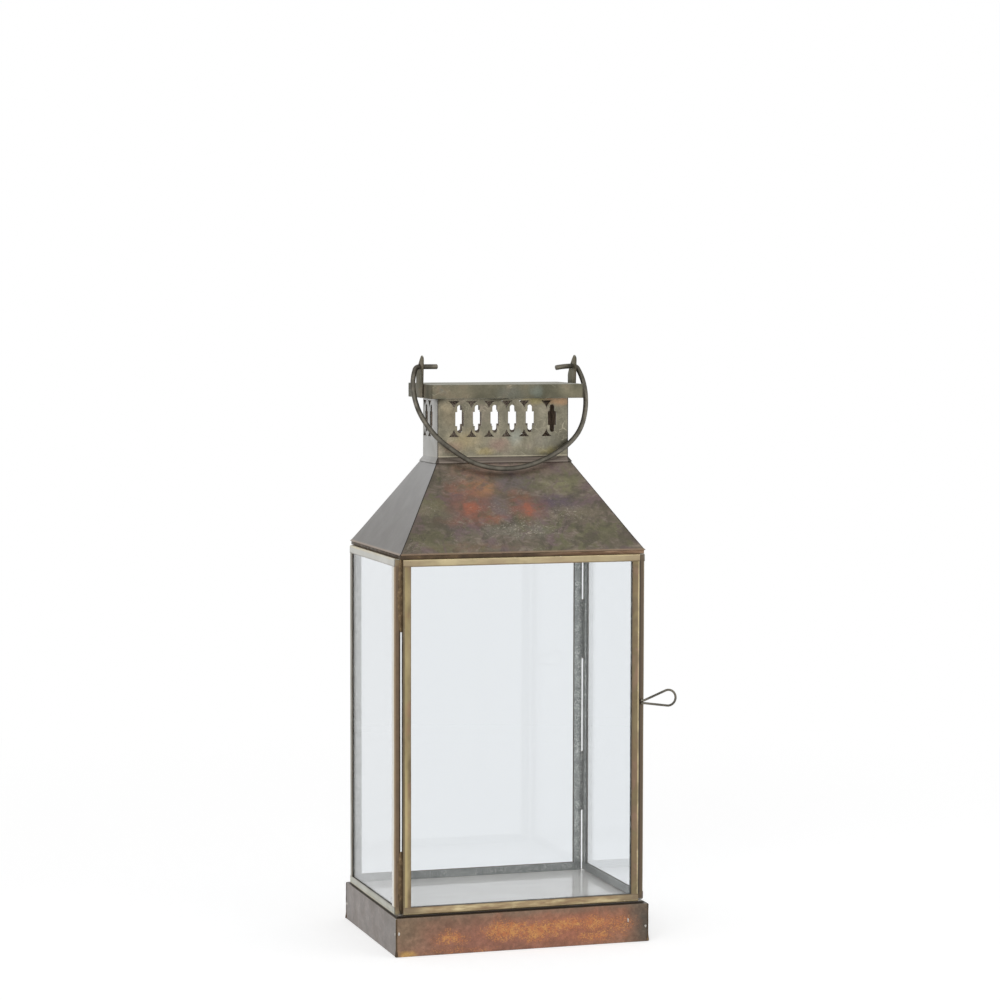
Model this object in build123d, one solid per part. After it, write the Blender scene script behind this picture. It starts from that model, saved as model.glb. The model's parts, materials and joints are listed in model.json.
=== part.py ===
"""Punched tin lantern: a glazed four-panel box on a shallow base, under a hipped
roof with a punched chimney, a flat cap and a wire bail.

Millimetres. X runs along the wide front, Y to the back and Z up. The origin is the
middle of the base's underside.
"""
import math
import os

from build123d import *

# Base
BASE_W = 160.0
BASE_D = 118.8
BASE_H = 23.4
BASE_SHEET = 0.6
BASE_BEAD_R = 0.9
BASE_BEAD_FROM_CORNER = 2.2
FLOOR_T = 0.8
FLOOR_SETBACK = 0.6          # from the panels' outer faces
SIDE_LEDGE = 0.8             # base edge to the side panels' outer faces
FRONT_LEDGE = 3.2            # base edge to the front and back panels' outer faces

# Panels: U-channel frames round panes of glass
PANEL_H = 213.8
FRAME_T = 4.0
FRAME_FACE = 4.8
FRAME_WALL = 0.6
GLASS_T = 2.4
GLASS_PLAY = 0.5             # between a pane's edge and the channel's web
CORNER_GAP_X = 0.6           # slit between panels that meet at a corner
CORNER_GAP_Y = 0.3
SOLDER_LEG = 1.8
SOLDER_TOP_L = 44.0
SOLDER_BOTTOM_L = 38.0

# Door hinges and pull
DOOR_GAP = 0.5
HINGE_L = 38.0
HINGE_SPREAD = 98.4          # between the two hinges' middles
HINGE_PIN_D = 1.6
HINGE_BORE_PLAY = 0.05
KNUCKLE_WALL = 0.75
LEAF_T = 0.5
LEAF_MARGIN = 0.2            # leaf edge to frame edge
MOVING_GAP = 0.3             # between pieces that pass each other
PULL_WIRE_D = 1.4
PULL_HEIGHT = 146.6
PULL_REACH = 15.6            # root to the middle of the round end
PULL_ROUND_R = 4.85
PULL_TILT = 7.0
PULL_SEAT = 2.4              # length soldered to the door's edge
PULL_SPLIT = 0.4             # between the two seated ends

# Roof
ROOF_SHEET = 0.6
EAVE_FRAME_T = 2.35
EAVE_FRAME_W = 8.0
EAVE_FRAME_SETBACK = 0.3     # from the roof's edge
EAVE_OVER_FRONT = 1.45       # roof edge beyond the front and back panels
EAVE_SHY_SIDE = 2.1          # roof edge inside the side panels' outer faces
ROOF_RISE = 53.95

# Chimney
CHIMNEY_W = 83.8
CHIMNEY_D = 31.6
CHIMNEY_SHEET = 0.6
CHIMNEY_H = 45.3             # roof line to the underside of the cap
CHIMNEY_TUCK = 2.0           # wall below the roof line
SKIRT_H = 2.0

# Vents: pairs of triangles, each with a lobed slot beside it
VENT_ABOVE_ROOF = 24.7       # roof line to the row's middle
VENT_FRONT_COUNT = 6
VENT_SIDE_COUNT = 2
VENT_PITCH = 11.2
VENT_SIDE_PITCH = 10.4
VENT_LAST_STEP = 3.2         # extra step before the front row's last pair
VENT_BACK_PITCH = 11.75
VENT_BACK_SHIFT = 0.25       # back row off centre
VENT_SIDE_SHIFT = 4.5        # side rows off centre
TRIANGLE_W = 6.6
TRIANGLE_H = 4.5
TRIANGLE_SPAN = 21.9         # outer edge of the upper one to outer edge of the lower one
TRIANGLE_HOLLOW = 0.35       # how far the sides curve in
SLOT_FROM_TRIANGLE = 3.65
SLOT_W = 5.3
SLOT_BODY_H = 8.5
SLOT_LOBE_D = 3.0
SLOT_H = 16.8

# Cap and ears
CAP_SHEET = 0.6
CAP_OVER_END = 6.7
CAP_OVER_FRONT = 9.5
CAP_RIM = 8.6
EAR_T = 0.8
EAR_W = 13.4
EAR_Y = -1.5                 # the hole, and the middle of the ear's foot
EAR_POINT = 20.1             # cap to where the edges would meet if the tip were sharp
EAR_POINT_AHEAD = 8.7        # that point ahead of the hole
EAR_TIP_R = 3.0
EAR_BACK_BULGE = 1.5
EAR_LAP_GAP = 0.6            # rim's lower edge to the ear's foot

# Bail
BAIL_D = 3.0
BAIL_PLAY = 0.35             # radial, in the ear's hole
BAIL_ABOVE_CAP = 10.4
BAIL_SIDE_GAP = 4.2          # ear to the inside of the wire at its widest
BAIL_DROP = 65.9             # axis to the bottom of the bow
BAIL_HOOK = 10.2             # hooked end inside the ear
BAIL_REST = 20.5             # angle forward of straight down
BAIL_SHAPE = (               # half of the bow from the bottom up, as shares of half width and drop
    (0.664, 0.795),
    (0.942, 0.472),
    (0.999, 0.209),
    (0.953, 0.029),
)

# Places worked out from the sizes above
SIDE_OUTER = BASE_W / 2 - SIDE_LEDGE
SIDE_INNER = SIDE_OUTER - FRAME_T
FRONT_OUTER = BASE_D / 2 - FRONT_LEDGE
FRONT_INNER = FRONT_OUTER - FRAME_T
FRONT_HALF = SIDE_INNER - CORNER_GAP_X
SIDE_HALF = FRONT_INNER - CORNER_GAP_Y
PANEL_Z = BASE_H + FLOOR_T
PANEL_TOP = PANEL_Z + PANEL_H
EAVE_Z = PANEL_TOP + EAVE_FRAME_T
EAVE_X = SIDE_OUTER - EAVE_SHY_SIDE
EAVE_Y = FRONT_OUTER + EAVE_OVER_FRONT
CHIMNEY_X = CHIMNEY_W / 2
CHIMNEY_Y = CHIMNEY_D / 2
ROOF_TOP_Z = EAVE_Z + ROOF_RISE
CHIMNEY_TOP = ROOF_TOP_Z + CHIMNEY_H
CAP_TOP = CHIMNEY_TOP + CAP_SHEET
CAP_X = CHIMNEY_X + CAP_OVER_END
CAP_Y = CHIMNEY_Y + CAP_OVER_FRONT
KNUCKLE_R = HINGE_PIN_D / 2 + HINGE_BORE_PLAY + KNUCKLE_WALL
HINGE_OFF = LEAF_T + MOVING_GAP + KNUCKLE_R
HINGE_X = FRONT_HALF + HINGE_OFF
HINGE_Y = SIDE_HALF + HINGE_OFF
BAIL_Z = CAP_TOP + BAIL_ABOVE_CAP
BAIL_HALF = CAP_X + EAR_T + BAIL_SIDE_GAP + BAIL_D / 2


def block(x0, x1, y0, y1, z0, z1):
    """Box between two corners."""
    middle = Pos((x0 + x1) / 2, (y0 + y1) / 2, (z0 + z1) / 2)
    return middle * Box(x1 - x0, y1 - y0, z1 - z0)


def prism(points, z0, z1):
    """Upright prism over a plan outline."""
    outline = Pos(0, 0, z0) * Polygon(*points, align=None)
    return extrude(outline, amount=z1 - z0, dir=(0, 0, 1))


def wire_along(path, diameter):
    """Round wire swept along a path."""
    section = Plane(path @ 0, z_dir=path % 0) * Circle(diameter / 2)
    return sweep(section, path=path)


def base_parts():
    """Upside-down tray, its bottom sheet, the corner beads and the floor plate."""
    x, y, t = BASE_W / 2, BASE_D / 2, BASE_SHEET
    pan = block(-x, x, -y, y, 0, BASE_H) - block(-x + t, x - t, -y + t, y - t, 0, BASE_H - t)
    bottom = block(-x + t, x - t, -y + t, y - t, 0, t)
    floor_x = SIDE_OUTER - FLOOR_SETBACK
    floor_y = FRONT_OUTER - FLOOR_SETBACK
    floor = block(-floor_x, floor_x, -floor_y, floor_y, BASE_H, PANEL_Z)
    solid_base = block(-x, x, -y, y, 0, BASE_H)
    bead_x, bead_y = x - BASE_BEAD_FROM_CORNER, y - BASE_BEAD_FROM_CORNER
    beads = []
    for sx in (-1, 1):
        for sy in (-1, 1):
            for spot in ((sx * x, sy * bead_y), (sx * bead_x, sy * y)):
                bead = Pos(*spot, BASE_H / 2) * Sphere(BASE_BEAD_R) - solid_base
                beads.append(bead.solid())
    return {
        "base_pan": pan,
        "base_bottom": bottom,
        "base_corner_beads": Compound(children=beads),
        "floor_plate": floor,
    }


def channel(length, end_wall):
    """Length of U-channel along X, web down, open upward, with its ends closed or open."""
    slot = FRAME_T - 2 * FRAME_WALL
    run = length - 2 * end_wall
    bar = Box(length, FRAME_T, FRAME_FACE, align=(Align.CENTER, Align.CENTER, Align.MIN))
    groove = Box(run, slot, FRAME_FACE, align=(Align.CENTER, Align.CENTER, Align.MIN))
    return bar - Pos(0, 0, FRAME_WALL) * groove


def panel(width, height):
    """Rails, stiles and pane of one panel, standing on Z = 0 in the XZ plane."""
    rail = channel(width, FRAME_WALL)
    stile = channel(height - 2 * FRAME_FACE, 0)
    pane_w = width - 2 * (FRAME_WALL + GLASS_PLAY)
    pane_h = height - 2 * FRAME_WALL - GLASS_PLAY
    pane = Box(pane_w, GLASS_T, pane_h, align=(Align.CENTER, Align.CENTER, Align.MIN))
    return (
        Pos(0, 0, height) * Rot(180, 0, 0) * rail,
        rail,
        Pos(-width / 2, 0, height / 2) * Rot(0, 90, 0) * stile,
        Pos(width / 2, 0, height / 2) * Rot(0, -90, 0) * stile,
        Pos(0, 0, FRAME_WALL) * pane,
    )


def panel_parts():
    """The three fixed panels and the door."""
    wide, narrow = 2 * FRONT_HALF, 2 * SIDE_HALF
    front_y = (FRONT_OUTER + FRONT_INNER) / 2
    side_x = (SIDE_OUTER + SIDE_INNER) / 2
    places = {
        "front": (Pos(0, -front_y, PANEL_Z), wide, PANEL_H, ("left", "right")),
        "back": (Pos(0, front_y, PANEL_Z), wide, PANEL_H, ("left", "right")),
        "left": (Pos(-side_x, 0, PANEL_Z) * Rot(0, 0, 90), narrow, PANEL_H, ("front", "back")),
        "door": (
            Pos(side_x, 0, PANEL_Z + DOOR_GAP) * Rot(0, 0, 90),
            narrow,
            PANEL_H - 2 * DOOR_GAP,
            ("front", "back"),
        ),
    }
    parts = {}
    for name, (place, width, height, (first, second)) in places.items():
        labels = ("top_rail", "bottom_rail", first + "_stile", second + "_stile", "glass")
        for label, piece in zip(labels, panel(width, height)):
            parts[name + "_" + label] = place * piece
    return parts


def corner_solder(side):
    """Solder in the outer corner of the left panel and the front (-1) or back (1) one."""
    x, y = -FRONT_HALF, side * SIDE_HALF
    outline = [
        (x, side * FRONT_INNER),
        (-SIDE_INNER, y),
        (-SIDE_INNER - SOLDER_LEG, y),
        (x, side * (FRONT_INNER + SOLDER_LEG)),
    ]
    top = prism(outline, PANEL_TOP - SOLDER_TOP_L, PANEL_TOP)
    bottom = prism(outline, PANEL_Z, PANEL_Z + SOLDER_BOTTOM_L)
    return Compound(children=[top.solid(), bottom.solid()])


def hinge_leaf(plate, web, knuckles):
    """Leaf plate with its knuckles, bored for the pin."""
    leaf = plate
    for z0, z1 in knuckles:
        barrel = Pos(HINGE_X, HINGE_Y, z0) * Cylinder(
            KNUCKLE_R, z1 - z0, align=(Align.CENTER, Align.CENTER, Align.MIN)
        )
        leaf = leaf + barrel + block(*web, z0, z1)
    bore = Pos(HINGE_X, HINGE_Y, (knuckles[0][0] + knuckles[-1][1]) / 2)
    return leaf - bore * Cylinder(HINGE_PIN_D / 2 + HINGE_BORE_PLAY, 2 * HINGE_L)


def hinge_parts(name, middle):
    """One hinge at the back right corner: fixed leaf, door leaf and pin."""
    z0, z3 = middle - HINGE_L / 2, middle + HINGE_L / 2
    z1, z2 = middle - HINGE_L / 6, middle + HINGE_L / 6
    web_half = KNUCKLE_WALL
    fixed_plate = block(
        FRONT_HALF, FRONT_HALF + LEAF_T, FRONT_INNER + LEAF_MARGIN, FRONT_OUTER - LEAF_MARGIN, z0, z3
    )
    fixed_web = (FRONT_HALF, HINGE_X, HINGE_Y - web_half, HINGE_Y + web_half)
    fixed_knuckles = [(z0, z1 - MOVING_GAP), (z2 + MOVING_GAP, z3)]
    door_plate = block(
        SIDE_INNER + LEAF_MARGIN, SIDE_OUTER - LEAF_MARGIN, SIDE_HALF, SIDE_HALF + LEAF_T, z0, z3
    )
    door_web = (HINGE_X - web_half, HINGE_X + web_half, SIDE_HALF, HINGE_Y)
    pin = Pos(HINGE_X, HINGE_Y, middle) * Cylinder(HINGE_PIN_D / 2, HINGE_L)
    return {
        name + "_hinge_frame_leaf": hinge_leaf(fixed_plate, fixed_web, fixed_knuckles),
        name + "_hinge_door_leaf": hinge_leaf(door_plate, door_web, [(z1, z2)]),
        name + "_hinge_pin": pin,
    }


def door_pull():
    """Teardrop wire loop with both ends soldered to the door's front edge."""
    half_gap = (PULL_WIRE_D + PULL_SPLIT) / 2
    tilt = math.radians(PULL_TILT)
    along = (math.cos(tilt), math.sin(tilt))
    across = (-along[1], along[0])

    def at(u, v):
        return (u * along[0] + v * across[0], u * along[1] + v * across[1])

    # The straight sides run from the root to where they touch the round end.
    lean = math.asin((PULL_ROUND_R - half_gap) / PULL_REACH)
    touch_u = PULL_REACH - PULL_ROUND_R * math.sin(lean)
    touch_v = PULL_ROUND_R * math.cos(lean)
    upper_root = at(0, half_gap)
    lower_root = at(0, -half_gap)
    upper_seat = (upper_root[0] - PULL_SEAT, upper_root[1])
    lower_seat = (lower_root[0] - PULL_SEAT, lower_root[1])
    path = Wire([
        Line(upper_seat, upper_root),
        Line(upper_root, at(touch_u, touch_v)),
        ThreePointArc(at(touch_u, touch_v), at(PULL_REACH + PULL_ROUND_R, 0), at(touch_u, -touch_v)),
        Line(at(touch_u, -touch_v), lower_root),
        Line(lower_root, lower_seat),
    ])
    loop_y = -SIDE_HALF - PULL_WIRE_D / 2
    plane = Plane(origin=(SIDE_OUTER, loop_y, PULL_HEIGHT), x_dir=(1, 0, 0), z_dir=(0, -1, 0))
    flat = plane * path
    section = Plane(flat @ 0, z_dir=flat % 0) * Circle(PULL_WIRE_D / 2)
    return sweep(section, path=flat, transition=Transition.ROUND)


def roof_half(z, offset):
    """Half-sizes of the roof's outline at a height, its slopes moved out by an offset."""
    run_x = (EAVE_X - CHIMNEY_X) / ROOF_RISE
    run_y = (EAVE_Y - CHIMNEY_Y) / ROOF_RISE
    half_x = EAVE_X - run_x * (z - EAVE_Z) + offset * math.hypot(1, run_x)
    half_y = EAVE_Y - run_y * (z - EAVE_Z) + offset * math.hypot(1, run_y)
    return half_x, half_y


def roof_body(z0, z1, offset):
    """Solid hipped body between two heights."""
    faces = []
    for z in (z0, z1):
        half_x, half_y = roof_half(z, offset)
        faces.append(Pos(0, 0, z) * Rectangle(2 * half_x, 2 * half_y))
    return loft(faces)


def sectors(z0, z1):
    """Plan quarters of the roof, parted along its hips."""
    reach = 1.3
    far_x = CHIMNEY_X + reach * (EAVE_X - CHIMNEY_X)
    far_y = CHIMNEY_Y + reach * (EAVE_Y - CHIMNEY_Y)
    x, y = CHIMNEY_X, CHIMNEY_Y
    outlines = {
        "front": [(-far_x, -far_y), (far_x, -far_y), (x, -y), (-x, -y)],
        "back": [(far_x, far_y), (-far_x, far_y), (-x, y), (x, y)],
        "left": [(-far_x, far_y), (-far_x, -far_y), (-x, -y), (-x, y)],
        "right": [(far_x, -far_y), (far_x, far_y), (x, y), (x, -y)],
    }
    return {name: prism(points, z0, z1) for name, points in outlines.items()}


def chimney_core(z0, z1):
    """Everything inside the chimney's outer faces."""
    return block(-CHIMNEY_X, CHIMNEY_X, -CHIMNEY_Y, CHIMNEY_Y, z0, z1)


def roof_parts():
    """Eave frame and the four slopes."""
    out_x = EAVE_X - EAVE_FRAME_SETBACK
    out_y = EAVE_Y - EAVE_FRAME_SETBACK
    in_x, in_y = out_x - EAVE_FRAME_W, out_y - EAVE_FRAME_W
    frame = block(-out_x, out_x, -out_y, out_y, PANEL_TOP, EAVE_Z)
    frame = frame - block(-in_x, in_x, -in_y, in_y, PANEL_TOP, EAVE_Z)
    shell = roof_body(EAVE_Z, ROOF_TOP_Z, 0) - roof_body(EAVE_Z, ROOF_TOP_Z, -ROOF_SHEET)
    shell = shell - chimney_core(EAVE_Z, ROOF_TOP_Z + 1)
    parts = {"eave_frame": frame}
    for name, sector in sectors(EAVE_Z, ROOF_TOP_Z).items():
        parts["roof_" + name] = shell & sector
    return parts


def vent_pair(middle):
    """Cutting faces of one pair of triangles and its slot, about a middle line."""
    half = TRIANGLE_W / 2
    edge = TRIANGLE_SPAN / 2
    tip = edge - TRIANGLE_H
    bow_x = half / 2 - TRIANGLE_HOLLOW
    bow_z = (edge + tip) / 2 + TRIANGLE_HOLLOW
    cut = []
    for side in (-1, 1):
        left, right = (middle - half, side * edge), (middle + half, side * edge)
        point = (middle, side * tip)
        outline = [
            Line(left, right),
            ThreePointArc(right, (middle + bow_x, side * bow_z), point),
            ThreePointArc(point, (middle - bow_x, side * bow_z), left),
        ]
        cut.append(make_face(Wire(outline)))
    slot_middle = middle + SLOT_FROM_TRIANGLE
    body = Pos(slot_middle, 0) * Rectangle(SLOT_W, SLOT_BODY_H)
    lobes = Pos(slot_middle, 0) * Rot(0, 0, 90) * SlotOverall(SLOT_H, SLOT_LOBE_D)
    cut.append(body + lobes)
    return cut


def vent_steps(count, pitch, last_step):
    """Places of a row's pairs, with an extra step before the last one."""
    steps = [n * pitch for n in range(count)]
    steps[-1] += last_step
    return steps


def vent_cutters(steps, shift, plane, depth):
    """Through-cutters for a row of vents whose middle is shifted along the wall."""
    row = steps[-1] + SLOT_FROM_TRIANGLE
    cutters = []
    for step in steps:
        for face in vent_pair(step - row / 2 + shift):
            cutters.append(extrude(plane * face, amount=depth, both=True))
    return cutters


def chimney_parts():
    """Four punched walls, each with its skirt over the roof."""
    z0 = ROOF_TOP_Z - CHIMNEY_TUCK
    z1 = CHIMNEY_TOP
    x, y, t = CHIMNEY_X, CHIMNEY_Y, CHIMNEY_SHEET
    skirt_z0 = ROOF_TOP_Z - SKIRT_H
    skirt_z1 = ROOF_TOP_Z + 3 * t
    ring = roof_body(skirt_z0, skirt_z1, t) - roof_body(skirt_z0, ROOF_TOP_Z, 0)
    ring = ring - chimney_core(skirt_z0, skirt_z1)
    skirts = {name: ring & sector for name, sector in sectors(skirt_z0, skirt_z1).items()}
    walls = {
        "front": block(-x, x, -y, -y + t, z0, z1),
        "back": block(-x, x, y - t, y, z0, z1),
        "left": block(-x, -x + t, -y + t, y - t, z0, z1),
        "right": block(x - t, x, -y + t, y - t, z0, z1),
    }
    row_z = ROOF_TOP_Z + VENT_ABOVE_ROOF
    front_steps = vent_steps(VENT_FRONT_COUNT, VENT_PITCH, VENT_LAST_STEP)
    back_steps = vent_steps(VENT_FRONT_COUNT, VENT_BACK_PITCH, 0)
    side_steps = vent_steps(VENT_SIDE_COUNT, VENT_SIDE_PITCH, 0)

    # Each wall is punched from outside, so every plane faces outward.
    front_face = Plane(origin=(0, -y, row_z), x_dir=(1, 0, 0), z_dir=(0, -1, 0))
    back_face = Plane(origin=(0, y, row_z), x_dir=(-1, 0, 0), z_dir=(0, 1, 0))
    left_face = Plane(origin=(-x, 0, row_z), x_dir=(0, -1, 0), z_dir=(-1, 0, 0))
    right_face = Plane(origin=(x, 0, row_z), x_dir=(0, 1, 0), z_dir=(1, 0, 0))
    rows = {
        "front": (front_steps, 0, front_face),
        "back": (back_steps, VENT_BACK_SHIFT, back_face),
        "left": (side_steps, -VENT_SIDE_SHIFT, left_face),
        "right": (side_steps, -VENT_SIDE_SHIFT, right_face),
    }
    parts = {}
    for name, wall in walls.items():
        steps, shift, plane = rows[name]
        whole = wall + skirts[name]
        for cutter in vent_cutters(steps, shift, plane, 2 * t):
            whole = whole - cutter
        parts["chimney_" + name] = whole
    return parts


def cap():
    """Flat lid with a folded-down rim."""
    x, y, t = CAP_X, CAP_Y, CAP_SHEET
    rim_z = CAP_TOP - CAP_RIM
    inside = block(-x + t, x - t, -y + t, y - t, rim_z, CAP_TOP - t)
    return block(-x, x, -y, y, rim_z, CAP_TOP) - inside


def ear(side):
    """Round-tipped tab on the left (-1) or right (1) end of the cap, pierced for the bail."""
    foot = CAP_TOP - CAP_RIM + EAR_LAP_GAP
    front, back = EAR_Y - EAR_W / 2, EAR_Y + EAR_W / 2
    shoulder = (back, CAP_TOP + BAIL_ABOVE_CAP / 2)
    point = (EAR_Y - EAR_POINT_AHEAD, CAP_TOP + EAR_POINT)
    slant = math.dist(shoulder, point)
    bulge_y = EAR_BACK_BULGE * (point[1] - shoulder[1]) / slant
    bulge_z = EAR_BACK_BULGE * (shoulder[0] - point[0]) / slant
    bowed = ((shoulder[0] + point[0]) / 2 + bulge_y, (shoulder[1] + point[1]) / 2 + bulge_z)
    outline = Wire([
        Line((front, foot), (back, foot)),
        Line((back, foot), shoulder),
        ThreePointArc(shoulder, bowed, point),
        Line(point, (front, foot)),
    ])
    face = make_face(outline)
    sharp = max(face.vertices(), key=lambda vertex: vertex.Y)
    face = fillet(sharp, EAR_TIP_R)
    face = face - Pos(EAR_Y, BAIL_Z) * Circle(BAIL_D / 2 + BAIL_PLAY)
    plane = Plane(origin=(side * CAP_X, 0, 0), x_dir=(0, 1, 0), z_dir=(1, 0, 0))
    return extrude(plane * face, amount=EAR_T, dir=(side, 0, 0))


def bail():
    """Wire handle, hanging forward: hooked ends through the ears and one smooth bow."""
    hook = (CAP_X - BAIL_HOOK, 0)
    at, heading = Vector(0, BAIL_DROP), Vector(1, 0)
    half = []
    for across, down in BAIL_SHAPE:
        half.append(TangentArc(at, (BAIL_HALF * across, BAIL_DROP * down), tangent=heading))
        at, heading = half[-1] @ 1, half[-1] % 1
    # The last bend brings the wire level where it enters the ear.
    turn = math.acos(-heading.X)
    bend = at.Y / (1 - math.cos(turn))
    level = (at.X - bend * math.sin(turn), 0)
    half.append(TangentArc(at, level, tangent=heading))
    half.append(Line(level, hook))
    path = Wire([edge.mirror(Plane.YZ) for edge in half[::-1]] + half)
    rest = math.radians(BAIL_REST)
    plane = Plane(
        origin=(0, EAR_Y, BAIL_Z), x_dir=(1, 0, 0), z_dir=(0, math.cos(rest), -math.sin(rest))
    )
    return wire_along(plane * path, BAIL_D)


def lantern():
    """Every piece by name."""
    middle = PANEL_Z + PANEL_H / 2
    parts = {}
    parts.update(base_parts())
    parts.update(panel_parts())
    parts["front_left_solder"] = corner_solder(-1)
    parts["back_left_solder"] = corner_solder(1)
    parts.update(hinge_parts("upper", middle + HINGE_SPREAD / 2))
    parts.update(hinge_parts("lower", middle - HINGE_SPREAD / 2))
    parts["door_pull"] = door_pull()
    parts.update(roof_parts())
    parts.update(chimney_parts())
    parts["cap"] = cap()
    parts["left_ear"] = ear(-1)
    parts["right_ear"] = ear(1)
    parts["bail"] = bail()
    return parts


os.makedirs("parts", exist_ok=True)
for node, shape in lantern().items():
    export_step(shape, os.path.join("parts", node + ".step"))
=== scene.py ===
"""Looks of the punched tin lantern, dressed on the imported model.

Metres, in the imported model's frame: X along the wide front, Y to the back, Z up.
Paints take their noise sizes and the places of their marks in millimetres.
"""
import json
import math

import bmesh
import bpy
from mathutils import Matrix, Vector, noise

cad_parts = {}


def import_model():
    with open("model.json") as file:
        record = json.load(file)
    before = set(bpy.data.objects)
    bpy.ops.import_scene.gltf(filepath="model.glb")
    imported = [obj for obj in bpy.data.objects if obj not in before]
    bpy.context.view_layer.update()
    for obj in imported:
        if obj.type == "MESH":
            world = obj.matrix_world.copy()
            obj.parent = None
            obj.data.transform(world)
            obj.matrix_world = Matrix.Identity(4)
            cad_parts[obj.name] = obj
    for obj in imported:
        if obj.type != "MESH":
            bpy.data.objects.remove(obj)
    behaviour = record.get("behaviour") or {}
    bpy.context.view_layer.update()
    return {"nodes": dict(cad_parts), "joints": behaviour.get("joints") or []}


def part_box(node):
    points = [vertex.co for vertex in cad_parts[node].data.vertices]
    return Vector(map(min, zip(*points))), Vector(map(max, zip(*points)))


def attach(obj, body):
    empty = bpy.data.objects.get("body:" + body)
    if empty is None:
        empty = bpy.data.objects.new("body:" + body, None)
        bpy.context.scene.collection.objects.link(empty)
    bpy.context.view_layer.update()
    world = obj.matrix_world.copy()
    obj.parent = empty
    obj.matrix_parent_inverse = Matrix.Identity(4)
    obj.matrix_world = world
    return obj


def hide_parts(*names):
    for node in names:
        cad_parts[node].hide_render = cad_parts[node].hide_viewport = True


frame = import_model()
nodes = frame["nodes"]

MM = 0.001

# Camera
CAMERA_PLACE = Vector((-0.548056, -1.748773, 0.390856))
CAMERA_AZIMUTH = math.radians(-17.491)
CAMERA_ABOVE = math.radians(3.83)
CAMERA_ROLL = math.radians(0.117)
CAMERA_LENS = 107.16
CAMERA_SENSOR = 36.0
CAMERA_NEAR = 0.01

# Light
WORLD_LIGHT = 0.62
KEY_PLACE, KEY_WATTS = (-0.9, -1.4, 0.85), 10.0
FILL_PLACE, FILL_WATTS = (1.1, -1.1, 0.6), 5.0
LAMP_AIM, LAMP_SIZE = (0, 0, 0.2), 1.1

# Floor
FLOOR_HALF = 6.0
FLOOR_DROP = 0.0002
FLOOR_FADE = (0.9, 0.2)         # far and near end of the floor's fade to white
FLOOR_SHARE = 0.45              # of the near floor that is lit, not white by itself
FLOOR_LIFT = 1.36
FLOOR_GREY = (0.82, 0.82, 0.82, 1.0)
BLACK, WHITE = (0.0, 0.0, 0.0, 1.0), (1.0, 1.0, 1.0, 1.0)

# Frame channels
CHANNEL_WALL = 0.6 * MM
CHANNEL_BENDS = {1: 0.9 * MM, -1: 0.2 * MM}     # outer and inner bend
CHANNEL_LIP = 0.2 * CHANNEL_WALL
CHANNEL_CROWN = 0.05 * MM
CHANNEL_WEAR = 0.8 * MM         # rubbed strip beside a bend
CHANNEL_SHADE = 0.8 * MM        # dark strip beside the glass
CHANNEL_WAVE = 0.07 * MM
CHANNEL_LIFT = 0.7 * CHANNEL_WAVE
CHANNEL_SWAY_L, CHANNEL_LIFT_L = 30 * MM, 22 * MM
CHANNEL_CALM = 12 * MM          # straight length at each end
CHANNEL_STEP = 4.0 * MM
CHANNEL_CUT = 0.2               # darkness of a cut end
FLANK_STEPS, BEND_STEPS = 6, 5
# the last number, web, sets painted shade across the web, darkest at its inner side
WEB_POINTS = ((1, 0.6, 0.15), (0.5, 0.0, 0.6), (0, 0.0, 0.65), (-0.5, 0.0, 0.75), (-1, 0.0, 1.0))

# Roof sheets
ROOF_SHEET = 0.6 * MM
HIP_LAPS = {"left": 0.4 * MM, "right": 0.1 * MM}
HIP_SHY = 0.35 * MM
HIP_TIGHT = 0.1 * MM
ROOF_WAVE, ROOF_WAVE_L = 0.22 * MM, 42 * MM
ROOF_HOLLOW = 0.3               # more hollows than swellings
ROOF_SWELL = 0.3 * ROOF_WAVE
ROOF_CALM = 6                   # the waves fade over one part in this many at eave and top
EAVE_LIP, EAVE_LIP_H = 0.55 * MM, 1.0 * MM
ROOF_ROWS, ROOF_LONG_STEPS, ROOF_END_STEPS = 22, 44, 30

# Wire
WIRE_SIDES = 14
WIRE_TIP, WIRE_TIP_WIDTH = 0.25, 0.72
BAIL_R = 1.54 * MM
BAIL_HOOK_FROM_END = 10.2 * MM
BAIL_REST = math.radians(20.5)
BAIL_SHAPE = ((0.664, 0.795), (0.942, 0.472), (0.999, 0.209), (0.953, 0.029))
BAIL_STEPS, HOOK_STEPS = (30, 18, 14, 10), 8
BAIL_WAVE, BAIL_WAVE_L = 0.2 * MM, 25 * MM
BAIL_SKEW_LEFT = (
    (0.0, 0.3), (0.2, 0.4), (0.32, 0.5), (0.46, 0.5), (0.57, 0.6), (0.66, 0.7),
    (0.73, 0.9), (0.8, 1.4), (0.87, 1.2), (0.94, -0.3), (1.0, -0.9),
)
BAIL_SKEW_RIGHT = (
    (0.0, 0.3), (0.2, 0.7), (0.34, 1.2), (0.46, 1.9), (0.58, 2.8), (0.68, 3.1),
    (0.78, 2.3), (0.87, 0.7), (0.94, -0.5), (1.0, -0.9),
)
HOOK_DROOP = 1.0 * MM

# Solder and seams
SOLDER_LOWER_L, SOLDER_UPPER_L = 38 * MM, 44 * MM
SOLDER_LEG, SOLDER_STEP = 2.3 * MM, 1.2 * MM
SOLDER_LUMP_L, SOLDER_BELLY_L = 5 * MM, 3 * MM
DROP_SECTORS = 18
DROP_RINGS = ((1.0, -0.25), (0.92, 0.35), (0.7, 0.8), (0.35, 1.0))
BEAD_INSET, BEAD_RISE = 2.2 * MM, 0.35 * MM
BEAD_UP, BEAD_DOWN = 2.4 * MM, -2.2 * MM
SIDE_BEAD, FACE_BEAD = (0.7 * MM, 0.8 * MM), (0.6 * MM, 0.9 * MM)
SPLASH_X, SPLASH_Z, SPLASH_RISE = 66.8 * MM, 13.8 * MM, 0.25 * MM
SPLASH = (0.45 * MM, 1.4 * MM)
SEAM_INSET, SEAM_FOOT, SEAM_TRIM = 0.35 * MM, 0.5 * MM, 1.1 * MM
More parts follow.
